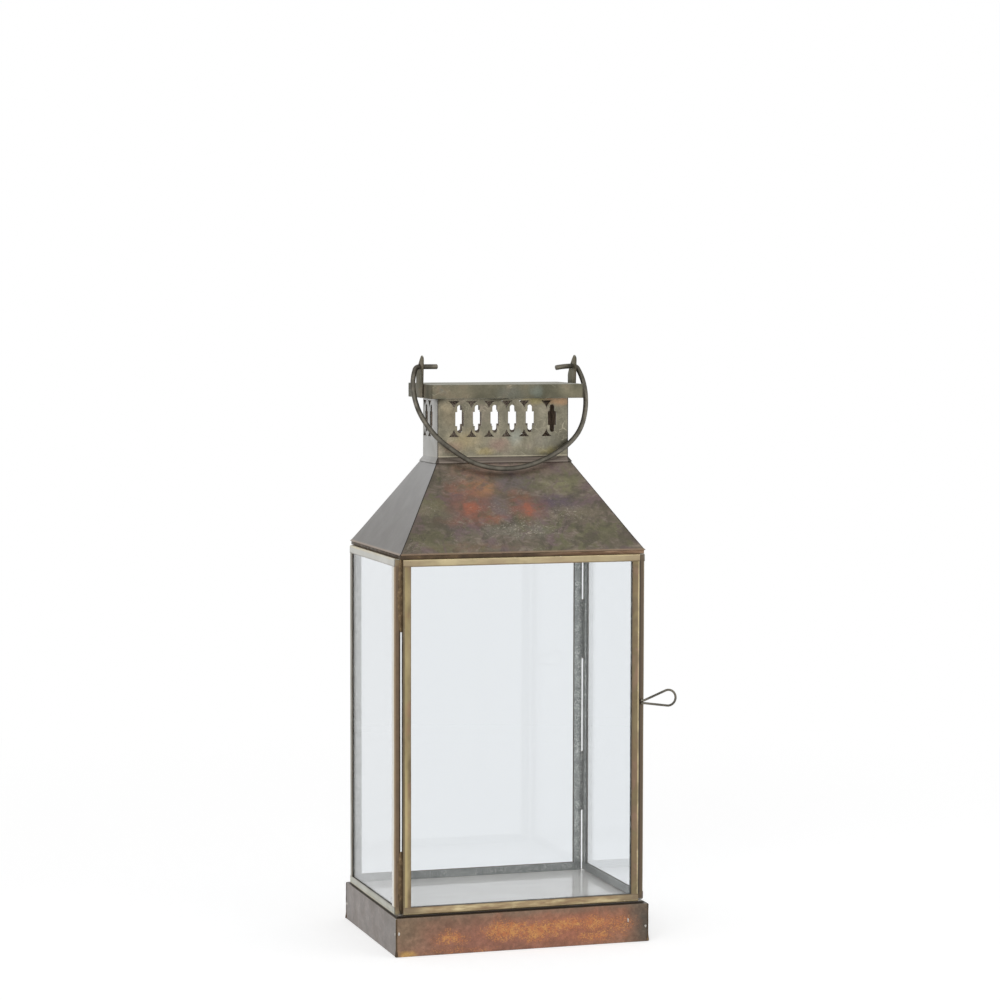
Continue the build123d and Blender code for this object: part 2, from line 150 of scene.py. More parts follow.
SEAM_WAVE, SEAM_WAVE_L = 0.1 * MM, 5 * MM
SEAM_STEPS, SEAM_SIDES = 16, 8

# Shading of the meshes
FLAT_AREA = 1000 * MM * MM      # larger faces are flat
SHARP_EDGE, SHARP_SOLDER, EASED_EDGE = math.radians(35), math.radians(60), math.radians(40)

# Places that the paints use
CHIMNEY_HALF = 41.9 * MM
CHIMNEY_FACE, CAP_FACE, BASE_FACE = 16, 25.5, 59.4
BACK_SHRINK, BACK_LOWER = 0.8, 3        # of the back slope's heat marks
DULL_HEIGHTS = (34 * MM, 28 * MM)       # bare metal dulls towards the floor
GLINT_HEIGHTS = (125 * MM, 95 * MM)     # the front left stile shines more below
FOOT_HEIGHTS, FOOT_ENDS = (38 * MM, 27 * MM), (22 * MM, 23 * MM)
EAVE_LIT_SPAN, EAVE_HEIGHTS = 40 * MM, (100 * MM, 200 * MM)
STROKE_ANGLES = (0.35, -0.6, 1.3)       # of the scratches, in radians
PANE_TINT, LEFT_PANE_TINT = (0.885, 0.902, 0.915, 1.0), (0.8, 0.822, 0.838, 1.0)
PANE_SHADOW = (0.9, 0.915, 0.93, 1.0)

PANELS = {
    "front": (Vector((0, -1, 0)), ("left", "right"), "lantern"),
    "back": (Vector((0, 1, 0)), ("left", "right"), "lantern"),
    "left": (Vector((-1, 0, 0)), ("front", "back"), "lantern"),
    "door": (Vector((1, 0, 0)), ("front", "back"), "door"),
}


def srgb(red, green, blue):
    """Linear colour of an sRGB one given in 0-255."""
    def linear(value):
        value /= 255
        return value / 12.92 if value <= 0.04045 else ((value + 0.055) / 1.055) ** 2.4
    return (linear(red), linear(green), linear(blue), 1.0)


def wobble(x, y, z, size):
    """Smooth noise from -1 to 1 with features of about the size given."""
    return noise.noise(Vector((x / size, y / size, z / size)))


# Node materials


class Tree:
    """A node tree, and short ways to add nodes to it."""

    def __init__(self, tree):
        self.nodes, self.links = tree.nodes, tree.links

    def add(self, kind, inputs=None, **settings):
        """A new node with its inputs, by name or number, linked or set."""
        node = self.nodes.new(kind)
        for key, value in settings.items():
            setattr(node, key, value)
        for key, value in (inputs or {}).items():
            self.put(node.inputs[key], value)
        return node

    def put(self, socket, value):
        """Links a socket to another one, or sets its value."""
        if isinstance(value, bpy.types.NodeSocket):
            self.links.new(value, socket)
        elif socket.type == "RGBA" and len(value) == 3:
            socket.default_value = srgb(*value)
        else:
            socket.default_value = value

    def calc(self, operation, first, second=0.0):
        return self.add("ShaderNodeMath", {0: first, 1: second}, operation=operation).outputs[0]

    def seen_directly(self):
        """1 for rays that show the background: camera, mirror and glass rays."""
        rays = self.add("ShaderNodeLightPath").outputs
        direct = self.calc("MAXIMUM", rays["Is Camera Ray"], rays["Is Glossy Ray"])
        return self.calc("MAXIMUM", direct, rays["Is Transmission Ray"])


class Paint(Tree):
    """A node material, the colour built up for it so far, and what such colours are made of.

    A colour is a socket, an sRGB triple in 0-255 or a linear colour of four numbers.
    """

    def __init__(self, name, **values):
        self.material = bpy.data.materials.new(name)
        self.material.use_nodes = True
        super().__init__(self.material.node_tree)
        self.shader = self.nodes["Principled BSDF"]
        self.place = self.add("ShaderNodeTexCoord").outputs["Object"]
        self.x, self.y, self.z = (self.part(self.place, index) for index in range(3))
        self.colour = None
        for socket, value in values.items():
            self.set(socket.replace("_", " "), value)

    def set(self, socket, value):
        self.put(self.shader.inputs[socket], value)

    def times(self, *factors):
        """Product of sockets and numbers."""
        product = factors[0]
        for factor in factors[1:]:
            product = self.calc("MULTIPLY", product, factor)
        return product

    def rest(self, share):
        """What a share leaves of 1."""
        return self.calc("SUBTRACT", 1.0, share)

    def absolute(self, value):
        return self.calc("ABSOLUTE", value)

    def vector(self, operation, first, second=(0, 0, 0)):
        node = self.add("ShaderNodeVectorMath", {0: first, 1: second}, operation=operation)
        return node.outputs["Value" if operation == "LENGTH" else "Vector"]

    def stretched(self, x, y, z):
        """The place with each axis scaled, which draws noise out along the small ones."""
        return self.vector("MULTIPLY", self.place, (x, y, z))

    def noise(self, size, detail, rough, twist=0.0, place=None):
        """Noise node with features of about the size given, in millimetres."""
        return self.add("ShaderNodeTexNoise", {
            "Vector": place or self.place, "Scale": 1 / (size * MM), "Detail": detail,
            "Roughness": rough, "Distortion": twist,
        })

    def cloud(self, size, detail=3.0, rough=0.55, twist=0.0, place=None):
        """Noise from 0 to 1."""
        return self.noise(size, detail, rough, twist, place).outputs["Fac"]

    def cells(self, size):
        """Random value of each cell of a crystal-like pattern."""
        node = self.add("ShaderNodeTexVoronoi", {"Vector": self.place, "Scale": 1 / (size * MM)})
        return self.part(node.outputs["Color"], 0)

    def part(self, vector, index):
        return self.add("ShaderNodeSeparateXYZ", {0: vector}).outputs[index]

    def facing(self, index):
        """One component of the surface's own normal, in the object's space."""
        return self.part(self.add("ShaderNodeTexCoord").outputs["Normal"], index)

    def sideways(self, index, start, end):
        """Where the surface looks along an axis, either way."""
        return self.ease(self.absolute(self.facing(index)), start, end)

    def attribute(self, name):
        return self.add("ShaderNodeAttribute", attribute_name=name).outputs["Fac"]

    def ease(self, value, start, end, low=0.0, high=1.0):
        """Smooth step from low at start to high at end."""
        span = {"Value": value, "From Min": start, "From Max": end, "To Min": low, "To Max": high}
        node = self.add("ShaderNodeMapRange", span, interpolation_type="SMOOTHSTEP")
        return node.outputs["Result"]

    def ramp(self, value, *stops):
        """Colours along a value, from stops of (place, red, green, blue)."""
        node = self.add("ShaderNodeValToRGB", {0: value})
        elements = node.color_ramp.elements
        while len(elements) < len(stops):
            elements.new(1.0)
        for element, (place, *colour) in zip(elements, stops):
            element.position = place
            element.color = srgb(*colour)
        return node.outputs["Color"]

    def mix(self, share, first, second, blend="MIX"):
        inputs = {0: share, 6: first, 7: second}
        return self.add("ShaderNodeMix", inputs, data_type="RGBA", blend_type=blend).outputs[2]

    def ground(self, value, *stops):
        """Starts the colour with a ramp."""
        self.colour = self.ramp(value, *stops)

    def coat(self, tint, *shares):
        """Lays a tint over the colour, as much as the product of the shares."""
        self.colour = self.mix(self.times(*shares), self.colour, tint)

    def ragged(self, size, amount):
        """The place pushed about by noise, so that spots get uneven edges."""
        push = self.noise(size, 6.0, 0.62).outputs["Color"]
        push = self.vector("SUBTRACT", push, (0.5, 0.5, 0.5))
        push = self.vector("MULTIPLY", push, (amount * MM,) * 3)
        return self.vector("ADD", self.place, push)

    def spot(self, place, centre, size):
        """Soft blob, 1 at its centre and 0 at its size, all in millimetres."""
        offset = self.vector("SUBTRACT", place, tuple(c * MM for c in centre))
        scaled = self.vector("MULTIPLY", offset, tuple(1 / (s * MM) for s in size))
        return self.ease(self.vector("LENGTH", scaled), 1.0, 0.1)

    def spots(self, place, marks, *grain):
        """Lays marks of (centre, size, colour, strength) over the colour."""
        for centre, size, tint, strength in marks:
            self.coat(tint, self.spot(place, centre, size), strength, *grain)

    def blobs(self, place, marks):
        """Largest of the soft blobs of (centre, size, strength)."""
        total = None
        for centre, size, strength in marks:
            share = self.times(self.spot(place, centre, size), strength)
            total = share if total is None else self.calc("MAXIMUM", total, share)
        return total

    def scratches(self, where=None, angles=STROKE_ANGLES):
        """Pale specks and short strokes, in patches or where a mask says."""
        marks = self.ease(self.cloud(1.3, 4.0, 0.75), 0.6, 0.76)
        for angle in angles:
            turn = {"Vector": self.place, "Angle": angle}
            node = self.add("ShaderNodeVectorRotate", turn, rotation_type="Y_AXIS")
            along = self.vector("MULTIPLY", node.outputs["Vector"], (0.12, 1.0, 1.0))
            dashes = self.ease(self.cloud(0.9, 2.0, 0.6, place=along), 0.6, 0.72)
            marks = self.calc("MAXIMUM", marks, dashes)
        return self.times(marks, where or self.ease(self.cloud(17), 0.48, 0.66))

    def grained(self, size, low, high):
        """Makes the colour darker and lighter by fine grain."""
        grain = self.ease(self.cloud(size, 4.0, 0.75), 0.3, 0.7, low, high)
        self.colour = self.mix(1.0, self.colour, grain, "MULTIPLY")

    def finish(self, roughness, *layers):
        """Hands the shader its colour, roughness and relief of (height, depth in millimetres)."""
        self.set("Base Color", self.colour)
        self.set("Roughness", roughness)
        self.relief(*layers)
        return self.material

    def relief(self, *layers):
        """Bump from layers of (height from 0 to 1, depth in millimetres)."""
        normal = None
        for height, depth in layers:
            node = self.add("ShaderNodeBump", {"Distance": depth * MM, "Height": height})
            if normal is not None:
                self.put(node.inputs["Normal"], normal)
            normal = node.outputs["Normal"]
        self.set("Normal", normal)

    def surface(self, shader):
        self.put(self.nodes["Material Output"].inputs["Surface"], shader.outputs[0])


def both_faces(y, marks):
    """Marks of the front face, with centres of (x, z), then a turned copy on the back one."""
    return [
        ((x * flip, -y * flip, z), *values) for flip in (1, -1) for (x, z), *values in marks
    ]


def bare_metal(paint):
    """Mottled grey of the sheet's unfinished inside, duller near the floor."""
    colour = paint.ramp(paint.cloud(5), (0.35, 124, 127, 123), (0.65, 152, 154, 150))
    patches = paint.ease(paint.cloud(3), 0.38, 0.6)
    specks = paint.times(paint.ease(paint.cells(0.6), 0.4, 0.9, 0.0, 0.85), patches)
    colour = paint.mix(specks, colour, (204, 204, 199))
    return paint.mix(paint.ease(paint.z, *DULL_HEIGHTS, 0.0, 0.4), colour, (98, 102, 102))


def sheet_finish(paint, rough_low, rough_high, wave, inside=None):
    """Gives a sheet its inside, cut edges, uneven gloss and hand-worked relief."""
    paint.coat(inside or bare_metal(paint), paint.attribute("inner"))
    paint.coat((44, 38, 31), paint.attribute("cut"))
    return paint.finish(
        paint.ease(paint.cloud(14, 4.0), 0.3, 0.7, rough_low, rough_high),
        (paint.cloud(38, 1.0), wave),
        (paint.cloud(7, 2.0), 0.15 * wave),
        (paint.cloud(0.7), 0.012),
    )


def roof_paint():
    """Dark olive-brown heat-coloured sheet under old lacquer."""
    paint = Paint("roof_patina", Metallic=0.85, Coat_Weight=0.55, Coat_Roughness=0.3)
    ragged = paint.ragged(8, 12)
    paint.ground(
        paint.cloud(24, 5.0, 0.6, 0.6, paint.stretched(0.8, 1.0, 1.3)),
        (0.3, 78, 72, 60), (0.45, 98, 88, 76), (0.57, 108, 101, 84), (0.7, 120, 106, 97),
    )
    eave_z, top_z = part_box("roof_front")[0].z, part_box("roof_front")[1].z
    low = paint.ease(paint.part(ragged, 2), eave_z + 0.42 * (top_z - eave_z), eave_z)
    paint.coat((104, 97, 80), low, 0.5)
    for size in (12, 5):
        mottle = paint.ramp(
            paint.cloud(size, 4.0, 0.55, 1.2, paint.stretched(0.6, 1.0, 1.3)),
            (0.34, 62, 56, 42), (0.46, 100, 94, 76), (0.54, 112, 96, 86), (0.66, 148, 136, 122),
        )
        paint.coat(mottle, 0.4)
    for size, tint in ((15, (98, 97, 66)), (13, (104, 84, 88)), (9, (74, 68, 54))):
        paint.coat(tint, paint.ease(paint.cloud(size, 4.0, 0.58, 0.8), 0.5, 0.62, 0.0, 0.65))
    broken = paint.cloud(6, 6.0, 0.66, 0.6, paint.stretched(0.7, 1.0, 1.2))
    paint.spots(ragged, heat_and_light_marks(), paint.ease(broken, 0.36, 0.56, 0.25, 1.0))
    paint.grained(1.3, 0.88, 1.1)
    rubbed = paint.blobs(ragged, (
        ((2, -47, 253), (38, 10, 12), 1.0),
        ((34, -41, 262), (22, 10, 10), 0.8),
        ((-6, 47, 252), (30, 9, 10), 1.0),
    ))
    rubbed = paint.calc("MAXIMUM", rubbed, paint.ease(paint.cloud(17), 0.5, 0.7, 0.0, 0.45))
    paint.coat((176, 168, 150), paint.scratches(rubbed), 0.75)
    # painted reflection: the end slopes turn pale grey, lighter towards the top
    pale = paint.mix(paint.ease(paint.z, eave_z, top_z), (89, 85, 81), (127, 126, 125))
    paint.coat(pale, paint.sideways(0, 0.3, 0.6), 0.88)
    # painted highlight along the eave's bent-out lip
    paint.coat((150, 124, 98), paint.ease(paint.z, eave_z + 1.1 * MM, eave_z + 0.4 * MM), 0.7)
    return sheet_finish(paint, 0.46, 0.54, 0.07)


def heat_and_light_marks():
    """Heat colours on the front slope, with painted light under the bail, then a turned and lower copy
    of them on the back one.
    """
    orange, red = (164, 94, 64), (130, 79, 67)
    purple, khaki, grey = (88, 74, 84), (122, 118, 86), (108, 98, 95)
    marks = [
        # painted light: the first two marks lighten the top of the slope against the bail's shadow
        ((2, -19, 289), (54, 10, 8), (142, 123, 109), 1.0),
        ((-20, -21, 287), (24, 10, 9), (146, 114, 94), 0.8),
        ((-26, -36, 267), (28, 16, 16), (122, 88, 73), 0.8),
        ((6, -37, 266), (24, 14, 14), (122, 88, 74), 0.75),
        ((-18, -28, 278), (17, 11, 10), (160, 116, 80), 0.85),
        ((-31, -29, 277), (15, 10, 10), (142, 92, 74), 0.65),
        ((-44, -42, 260), (18, 12, 12), (92, 84, 76), 0.6),
        ((28, -36, 268), (24, 11, 9), purple, 0.95),
        ((33, -27, 279), (20, 11, 10), khaki, 0.9),
        ((2, -26, 281), (18, 10, 10), grey, 0.85),
        ((-8, -37, 267), (9, 12, 12), grey, 0.85),
        ((-34, -43, 258), (28, 7, 6), red, 0.5),
        ((-18, -42, 260), (17, 5, 4), orange, 0.4),
        ((-27, -37, 266), (19, 13, 12), red, 0.55),
        ((9, -38, 265), (17, 13, 12), red, 0.55),
        ((-27, -37, 266), (8, 6, 6), orange, 0.6),
        ((9, -38, 265), (7, 7, 7), orange, 0.6),
        ((4, -32, 273), (10, 7, 7), orange, 0.3),
        ((-38, -45, 255), (24, 5, 5), purple, 0.4),
        ((0, -48, 252), (34, 8, 9), (116, 114, 102), 0.6),
        ((40, -40, 262), (26, 10, 10), (126, 116, 94), 0.5),
        ((60, -52, 246), (22, 9, 10), (86, 80, 62), 0.8),
        ((-56, -46, 254), (22, 12, 14), (80, 75, 56), 0.9),
        ((-52, -38, 266), (14, 8, 8), (120, 112, 88), 0.5),
        ((-30, -54, 244), (40, 5, 4), (118, 92, 72), 0.5),
    ]
    return marks + [
        ((-BACK_SHRINK * x, -y, z - BACK_LOWER), *values) for (x, y, z), *values in marks
    ]


def chimney_paint():
    """Olive-khaki sheet with clouds of pink, yellow and blue-grey."""
    paint = Paint("chimney_patina", Metallic=0.85, Coat_Weight=0.35, Coat_Roughness=0.3)
    paint.ground(
        paint.cloud(20, 4.0, 0.55, 0.5),
        (0.3, 82, 80, 68), (0.45, 108, 104, 88), (0.58, 124, 119, 101), (0.72, 138, 126, 112),
    )
    paint.spots(paint.ragged(6, 8), both_faces(CHIMNEY_FACE, (
        ((-3, 303), (10, 6, 7), (156, 124, 114), 0.65),
        ((-12, 299), (9, 6, 4), (172, 154, 100), 0.6),
        ((-24, 306), (16, 6, 9), (164, 148, 112), 0.8),
        ((-32, 302), (9, 6, 6), (160, 128, 112), 0.5),
        ((8, 308), (8, 6, 8), (152, 156, 146), 0.75),
        ((26, 306), (12, 6, 10), (126, 124, 112), 0.6),
        ((29, 299), (12, 6, 4), (160, 148, 96), 0.6),
        ((-34, 322), (12, 6, 14), (134, 122, 98), 0.7),
        ((-36, 326), (5, 6, 5), (176, 162, 132), 0.6),
        ((0, 320), (30, 6, 9), (124, 120, 104), 0.45),
        ((36, 330), (14, 6, 4), (178, 134, 92), 0.8),
        ((20, 330), (10, 6, 4), (164, 150, 92), 0.7),
    )))
    mottle = paint.ramp(
        paint.cloud(8, 7.0, 0.68, 1.0),
        (0.34, 72, 68, 52), (0.5, 116, 110, 92), (0.66, 166, 156, 134),
    )
    paint.coat(mottle, 0.28)
    paint.grained(1.1, 0.85, 1.12)
    paint.coat((186, 178, 154), paint.scratches(), 0.5)
    # painted reflection: the end walls turn pale grey, and so does the skirt below them
    ends = paint.sideways(0, 0.3, 0.6)
    paint.coat((158, 157, 153), ends, 0.85)
    roof_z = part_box("roof_front")[1].z
    skirt = paint.ease(paint.z, roof_z + 1.6 * MM, roof_z + 0.7 * MM)
    paint.coat(paint.mix(ends, (118, 106, 97), (140, 138, 134)), skirt, 0.85)
    plain = paint.rest(paint.times(ends, 0.8))
    # painted highlight and painted shadow of a seam above the skirt, and painted shade at the chimney's
    # foot
    for at, wide, tint, share in (
        (roof_z + 1.9 * MM, 0.45 * MM, (192, 182, 160), 0.5),
        (roof_z + 1.3 * MM, 0.35 * MM, (58, 50, 42), 0.8),
        (roof_z - 0.6 * MM, 0.3 * MM, (64, 56, 48), 0.5),
    ):
        off = paint.absolute(paint.calc("SUBTRACT", paint.z, at))
        paint.coat(tint, paint.ease(off, wide, 0.3 * wide), share, plain)
    seam = paint.ease(paint.absolute(paint.x), CHIMNEY_HALF - 0.9 * MM, CHIMNEY_HALF - 0.35 * MM)
    paint.coat((52, 46, 38), seam, 0.85, paint.sideways(1, 0.4, 0.6))
    soot = paint.ramp(paint.cloud(6, 4.0), (0.3, 136, 123, 110), (0.7, 174, 160, 144))
    return sheet_finish(paint, 0.34, 0.5, 0.2, soot)


def cap_paint():
    """Grey-olive sheet of the cap and ears, dusty on top."""
    paint = Paint("cap_patina", Specular_Tint=(0.6, 0.6, 0.58, 1.0))
    paint.ground(
        paint.cloud(17, 4.0, 0.55, 0.5),
        (0.3, 84, 82, 68), (0.5, 106, 102, 86), (0.62, 120, 110, 93), (0.75, 102, 110, 104),
    )
    paint.spots(paint.ragged(6, 8), both_faces(CAP_FACE, (
        ((18, 336), (6, 6, 6), (116, 124, 116), 0.5),
        ((40, 335), (12, 6, 6), (126, 120, 98), 0.4),
        ((2, 335), (14, 6, 6), (98, 100, 92), 0.6),
        ((-30, 335), (14, 6, 6), (126, 118, 98), 0.6),
    )))
    paint.grained(1.1, 0.88, 1.12)
    paint.coat((172, 168, 148), paint.scratches(), 0.5)
    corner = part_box("cap")[1]
    for index, at, edge in ((0, paint.x, corner.x), (1, paint.y, corner.y)):
        fold = paint.ease(paint.absolute(at), edge - 1.1 * MM, edge - 0.5 * MM, 0.0, 0.75)
        paint.coat((58, 54, 46), fold, paint.sideways(index, 0.6, 0.3))
    up = paint.ease(paint.facing(2), 0.6, 0.9)
    dust = paint.ramp(paint.cloud(12, 5.0), (0.35, 170, 169, 158), (0.65, 192, 191, 182))
    paint.coat(dust, up)
    paint.set("Metallic", paint.ease(up, 0.0, 1.0, 0.85, 0.0))
    paint.set("Specular IOR Level", paint.ease(up, 0.0, 1.0, 0.5, 0.0))
    return sheet_finish(paint, 0.38, 0.55, 0.2)


def base_paint():
    """Brown-copper sheet with grainy orange patches on its long sides."""
    paint = Paint("base_patina", Metallic=0.85, Coat_Weight=0.4, Coat_Roughness=0.35)
    ragged = paint.ragged(9, 10)
    paint.ground(
        paint.cloud(24, 4.0, 0.6, 0.4),
        (0.3, 104, 84, 68), (0.5, 126, 98, 78), (0.7, 138, 110, 90),
    )
    paint.spots(ragged, both_faces(BASE_FACE, (
        ((-14, 8), (84, 10, 19), (139, 94, 78), 0.9),
        ((38, 12), (56, 10, 20), (150, 96, 74), 0.9),
        ((78, 12), (17, 9, 26), (82, 74, 64), 1.0),
        ((-76, 16), (16, 9, 18), (122, 103, 82), 0.8),
        ((-73, 1.0), (9, 9, 4), (190, 152, 84), 0.75),
    )))
    steel = paint.ramp(paint.cloud(22, 4.0), (0.35, 91, 82, 75), (0.65, 120, 114, 110))
    paint.coat(steel, paint.sideways(0, 0.4, 0.6), 0.85)
    for size in (8, 2.5):
        paint.grained(size, 0.82, 1.18)
    patch = paint.blobs(ragged, both_faces(BASE_FACE, (
        ((-46, 9.5), (18, 9, 8), 0.8),
        ((-10, 12), (28, 9, 11), 1.0),
        ((8, 10.5), (28, 9, 10), 0.95),
        ((27, 14), (26, 9, 8), 0.9),
        ((46, 14), (26, 9, 8), 0.85),
        ((46, 5), (24, 9, 7), 0.8),
        ((62, 11), (16, 9, 11), 0.6),
        ((-40, 2), (44, 9, 4), 0.5),
        ((10, 11), (74, 9, 16), 0.32),
    )))
    paint.coat((154, 98, 71), patch, 0.5)
    grain = paint.cloud(0.7, 4.0, 0.75, place=paint.stretched(0.8, 1.0, 1.0))
    dust = paint.times(paint.calc("SUBTRACT", paint.cells(0.65), 0.5), 0.6)
    dither = paint.times(paint.calc("SUBTRACT", grain, 0.5), 1.7)
    dither = paint.calc("ADD", dither, dust)
    specks = paint.ease(paint.calc("ADD", paint.times(patch, 0.86), dither), 0.42, 0.8)
    gold = paint.ramp(paint.cloud(3), (0.38, 178, 111, 68), (0.62, 194, 141, 82))
    paint.coat(gold, specks, 0.85)
    paint.coat((92, 68, 54), paint.ease(grain, 0.45, 0.3, 0.0, 0.5))
    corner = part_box("base_pan")[1]
    paint.coat((58, 52, 45), paint.ease(paint.x, corner.x - 1.6 * MM, corner.x - 0.5 * MM, 0.0, 0.7))
    paint.coat((112, 103, 88), paint.ease(paint.part(ragged, 2), corner.z - 3.5 * MM, corner.z), 0.3)
    paint.coat((186, 172, 154), paint.scratches(angles=()), 0.3)
    # dirt and painted shade darken the base's upward faces under the panels
    grime_and_shade = paint.ease(paint.cloud(9, 4.0), 0.3, 0.7, 0.7, 0.95)
    paint.coat((58, 49, 40), paint.ease(paint.facing(2), 0.6, 0.9), grime_and_shade)
    return sheet_finish(paint, 0.4, 0.52, 0.12)


def brass_paint():
    """Antique brass channel: rubbed along its bends, brown on its webs and by the glass, with painted
    shade on the webs' inner side and beside the door, painted reflection on the left panel and painted
    glints.
    """
    paint = Paint("antique_brass", Metallic=0.85, Coat_Weight=0.45, Coat_Roughness=0.3)
    paint.ground(
        paint.cloud(9, place=paint.stretched(1.0, 1.0, 0.4)),
        (0.3, 98, 83, 60), (0.5, 138, 123, 90), (0.68, 164, 148, 110),
    )
    paint.coat((138, 104, 84), paint.ease(paint.cloud(20, 4.0), 0.48, 0.62), 0.65)
    top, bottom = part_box("front_top_rail"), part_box("front_bottom_rail")
    streaks = paint.ramp(
        paint.cloud(5, 4.0, 0.6, place=paint.stretched(0.3, 0.3, 1.4)),
        (0.36, 132, 106, 80), (0.5, 170, 148, 112), (0.64, 214, 197, 154),
    )
    lower = paint.ease(paint.z, bottom[1].z + 0.3 * MM, bottom[1].z - 0.3 * MM)
    paint.coat(streaks, lower, 0.8)
    upper = paint.ease(paint.z, top[0].z - 0.4 * MM, top[0].z + 1.2 * MM)
    paint.coat(paint.mix(0.65, streaks, (186, 173, 137)), upper, 0.75)
    upright = paint.rest(paint.calc("MAXIMUM", upper, lower))
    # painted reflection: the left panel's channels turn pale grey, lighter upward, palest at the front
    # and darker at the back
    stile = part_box("left_front_stile")
    rise = paint.ease(paint.z, bottom[0].z, top[1].z)
    grey = paint.mix(rise, (158, 160, 146), (186, 186, 180))
    back = paint.ease(paint.y, -stile[1].y - 0.3 * MM, -stile[1].y + 0.3 * MM)
    grey = paint.mix(paint.times(back, upright), grey, (112, 113, 100))
    front = paint.ease(paint.y, stile[1].y + 0.3 * MM, stile[1].y - 0.3 * MM)
    grey = paint.mix(paint.times(front, upright), grey, (222, 222, 217))
    paint.coat(grey, paint.ease(paint.x, stile[0].x + 1.0 * MM, stile[0].x + 0.3 * MM), 0.9)
    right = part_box("front_right_stile")
    end = right[1].x
    olive = paint.ramp(
        paint.cloud(16, 3.0, 0.55, 0.6, paint.stretched(1.6, 1.0, 0.7)),
        (0.36, 94, 78, 60), (0.48, 116, 102, 72), (0.58, 108, 94, 70), (0.68, 130, 102, 86),
    )
    near = paint.ease(paint.x, right[0].x - 0.2 * MM, right[0].x + 0.2 * MM)
    paint.coat(olive, near, upright, 0.75)
    off = paint.absolute(paint.x)
    corner = paint.ease(off, 0.72 * end, 0.95 * end)
    corner = paint.times(corner, paint.ease(off, end + 0.5 * MM, end + 0.2 * MM))
    for rail, amount, tint in ((upper, 0.6, (138, 121, 96)), (lower, 0.75, (114, 99, 78))):
        paint.coat(tint, corner, rail, amount)
    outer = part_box("front_left_stile")[0].x
    past = paint.ease(paint.x, outer - 0.3 * MM, outer)
    glint = paint.ease(paint.x, outer + 3.6 * MM, outer + 1.4 * MM)
    sunk = paint.ease(paint.z, *GLINT_HEIGHTS)
    gold = paint.mix(sunk, (176, 160, 108), (198, 180, 128))
    paint.coat(gold, glint, past, upright, paint.ease(sunk, 0.0, 1.0, 0.35, 0.6))
    edge = paint.attribute("edge")
    worn = paint.ease(paint.cloud(9, 4.0), 0.3, 0.66, 0.3, 1.0)
    paint.coat((206, 190, 146), paint.ease(edge, 0.4, 1.0), worn, 0.65)
    # pale flecks along the bends: worn bright metal with painted glints
    worn_glints = paint.ease(paint.cloud(1.6, 3.0, 0.7), 0.6, 0.7)
    paint.coat((232, 222, 196), paint.ease(edge, 0.3, 0.8), worn_glints, 0.6)
    turned = paint.ease(paint.facing(0), -0.95, -0.7)
    behind = paint.ease(paint.x, outer - 0.3 * MM, outer - 0.6 * MM)
    paint.coat((128, 106, 82), turned, upright, behind, front, 0.9)
    # painted shade on the front left stile's outer bend
    bend = paint.ease(paint.x, outer + 1.4 * MM, outer + 0.7 * MM)
    paint.coat((78, 64, 46), bend, past, upright, 0.8)
    web = paint.attribute("web")
    patchy = paint.ease(paint.cloud(7), 0.3, 0.7, 0.95, 0.6)
    paint.coat((98, 80, 61), paint.ease(web, 0.1, 0.6), patchy)
    # painted shade: the webs darken towards their inner side, where the panels meet
    paint.coat((46, 38, 30), paint.ease(web, 0.72, 1.0, 0.0, 0.85))
    paint.coat((92, 74, 56), paint.attribute("lip"), 0.75)
    beyond = paint.ease(paint.x, end, end + 0.3 * MM)
    beyond = paint.times(beyond, paint.ease(paint.facing(1), -0.4, -0.8))
    paint.coat((84, 71, 57), beyond, 0.8)
    # painted shade on the door's front strip next to the front right stile
    paint.coat((46, 37, 27), beyond, paint.ease(paint.x, end + 2.4 * MM, end + 1.7 * MM), 0.8)
    paint.coat((88, 72, 54), paint.ease(paint.cloud(1.2, 3.0, 0.7), 0.62, 0.72), 0.45)
    return sheet_finish(paint, 0.3, 0.48, 0.12)


def zinc_paint():
    """Bare mottled sheet of the floor plate and the hidden base bottom."""
    paint = Paint(
        "bare_sheet", Metallic=0.1, Specular_IOR_Level=0.1, Coat_Weight=0.75, Coat_Roughness=0.06
    )
    paint.ground(
        paint.cloud(16, 5.0, 0.6, place=paint.stretched(0.5, 1.6, 1.0)),
        (0.3, 216, 211, 205), (0.5, 224, 219, 213), (0.7, 231, 227, 221),
    )
    streaks = paint.cloud(1.6, place=paint.stretched(0.08, 1.0, 1.0))
    paint.coat((190, 189, 186), paint.ease(streaks, 0.55, 0.75, 0.0, 0.12))
    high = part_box("floor_plate")[1]
    # painted shade along the floor plate's edges, in the gap under the frames
    rims = [
        paint.ease(paint.absolute(at), edge - 2.0 * MM, edge - 1.0 * MM)
        for at, edge in ((paint.x, high.x), (paint.y, high.y))
    ]
    paint.coat((56, 48, 40), paint.calc("MAXIMUM", *rims))
    return paint.finish(
        paint.ease(paint.cloud(16), 0.3, 0.7, 0.28, 0.34),
        (paint.cloud(60, 1.0), 0.02),
        (streaks, 0.0005),
    )


def eave_paint():
    """Dark brown sheet in the shadow under the roof, with painted light making it lighter to the right.
    """
    paint = Paint("eave_sheet", Metallic=0.8)
    paint.ground(paint.cloud(9, 4.0), (0.3, 62, 52, 42), (0.6, 88, 72, 54), (0.75, 120, 100, 72))
    rubbed = paint.ramp(
        paint.cloud(4, 4.0, place=paint.stretched(0.25, 1.0, 1.6)),
        (0.4, 104, 80, 60), (0.62, 156, 128, 104),
    )
    # painted light: the streaky sheet lightens to the right, away from the shade at the left
    share = paint.ease(paint.x, 0.0, EAVE_LIT_SPAN, 0.0, 0.75)
    paint.coat(rubbed, share, paint.ease(paint.z, *EAVE_HEIGHTS))
    return paint.finish(paint.ease(paint.cloud(6), 0.3, 0.7, 0.4, 0.6), (paint.cloud(4), 0.05))


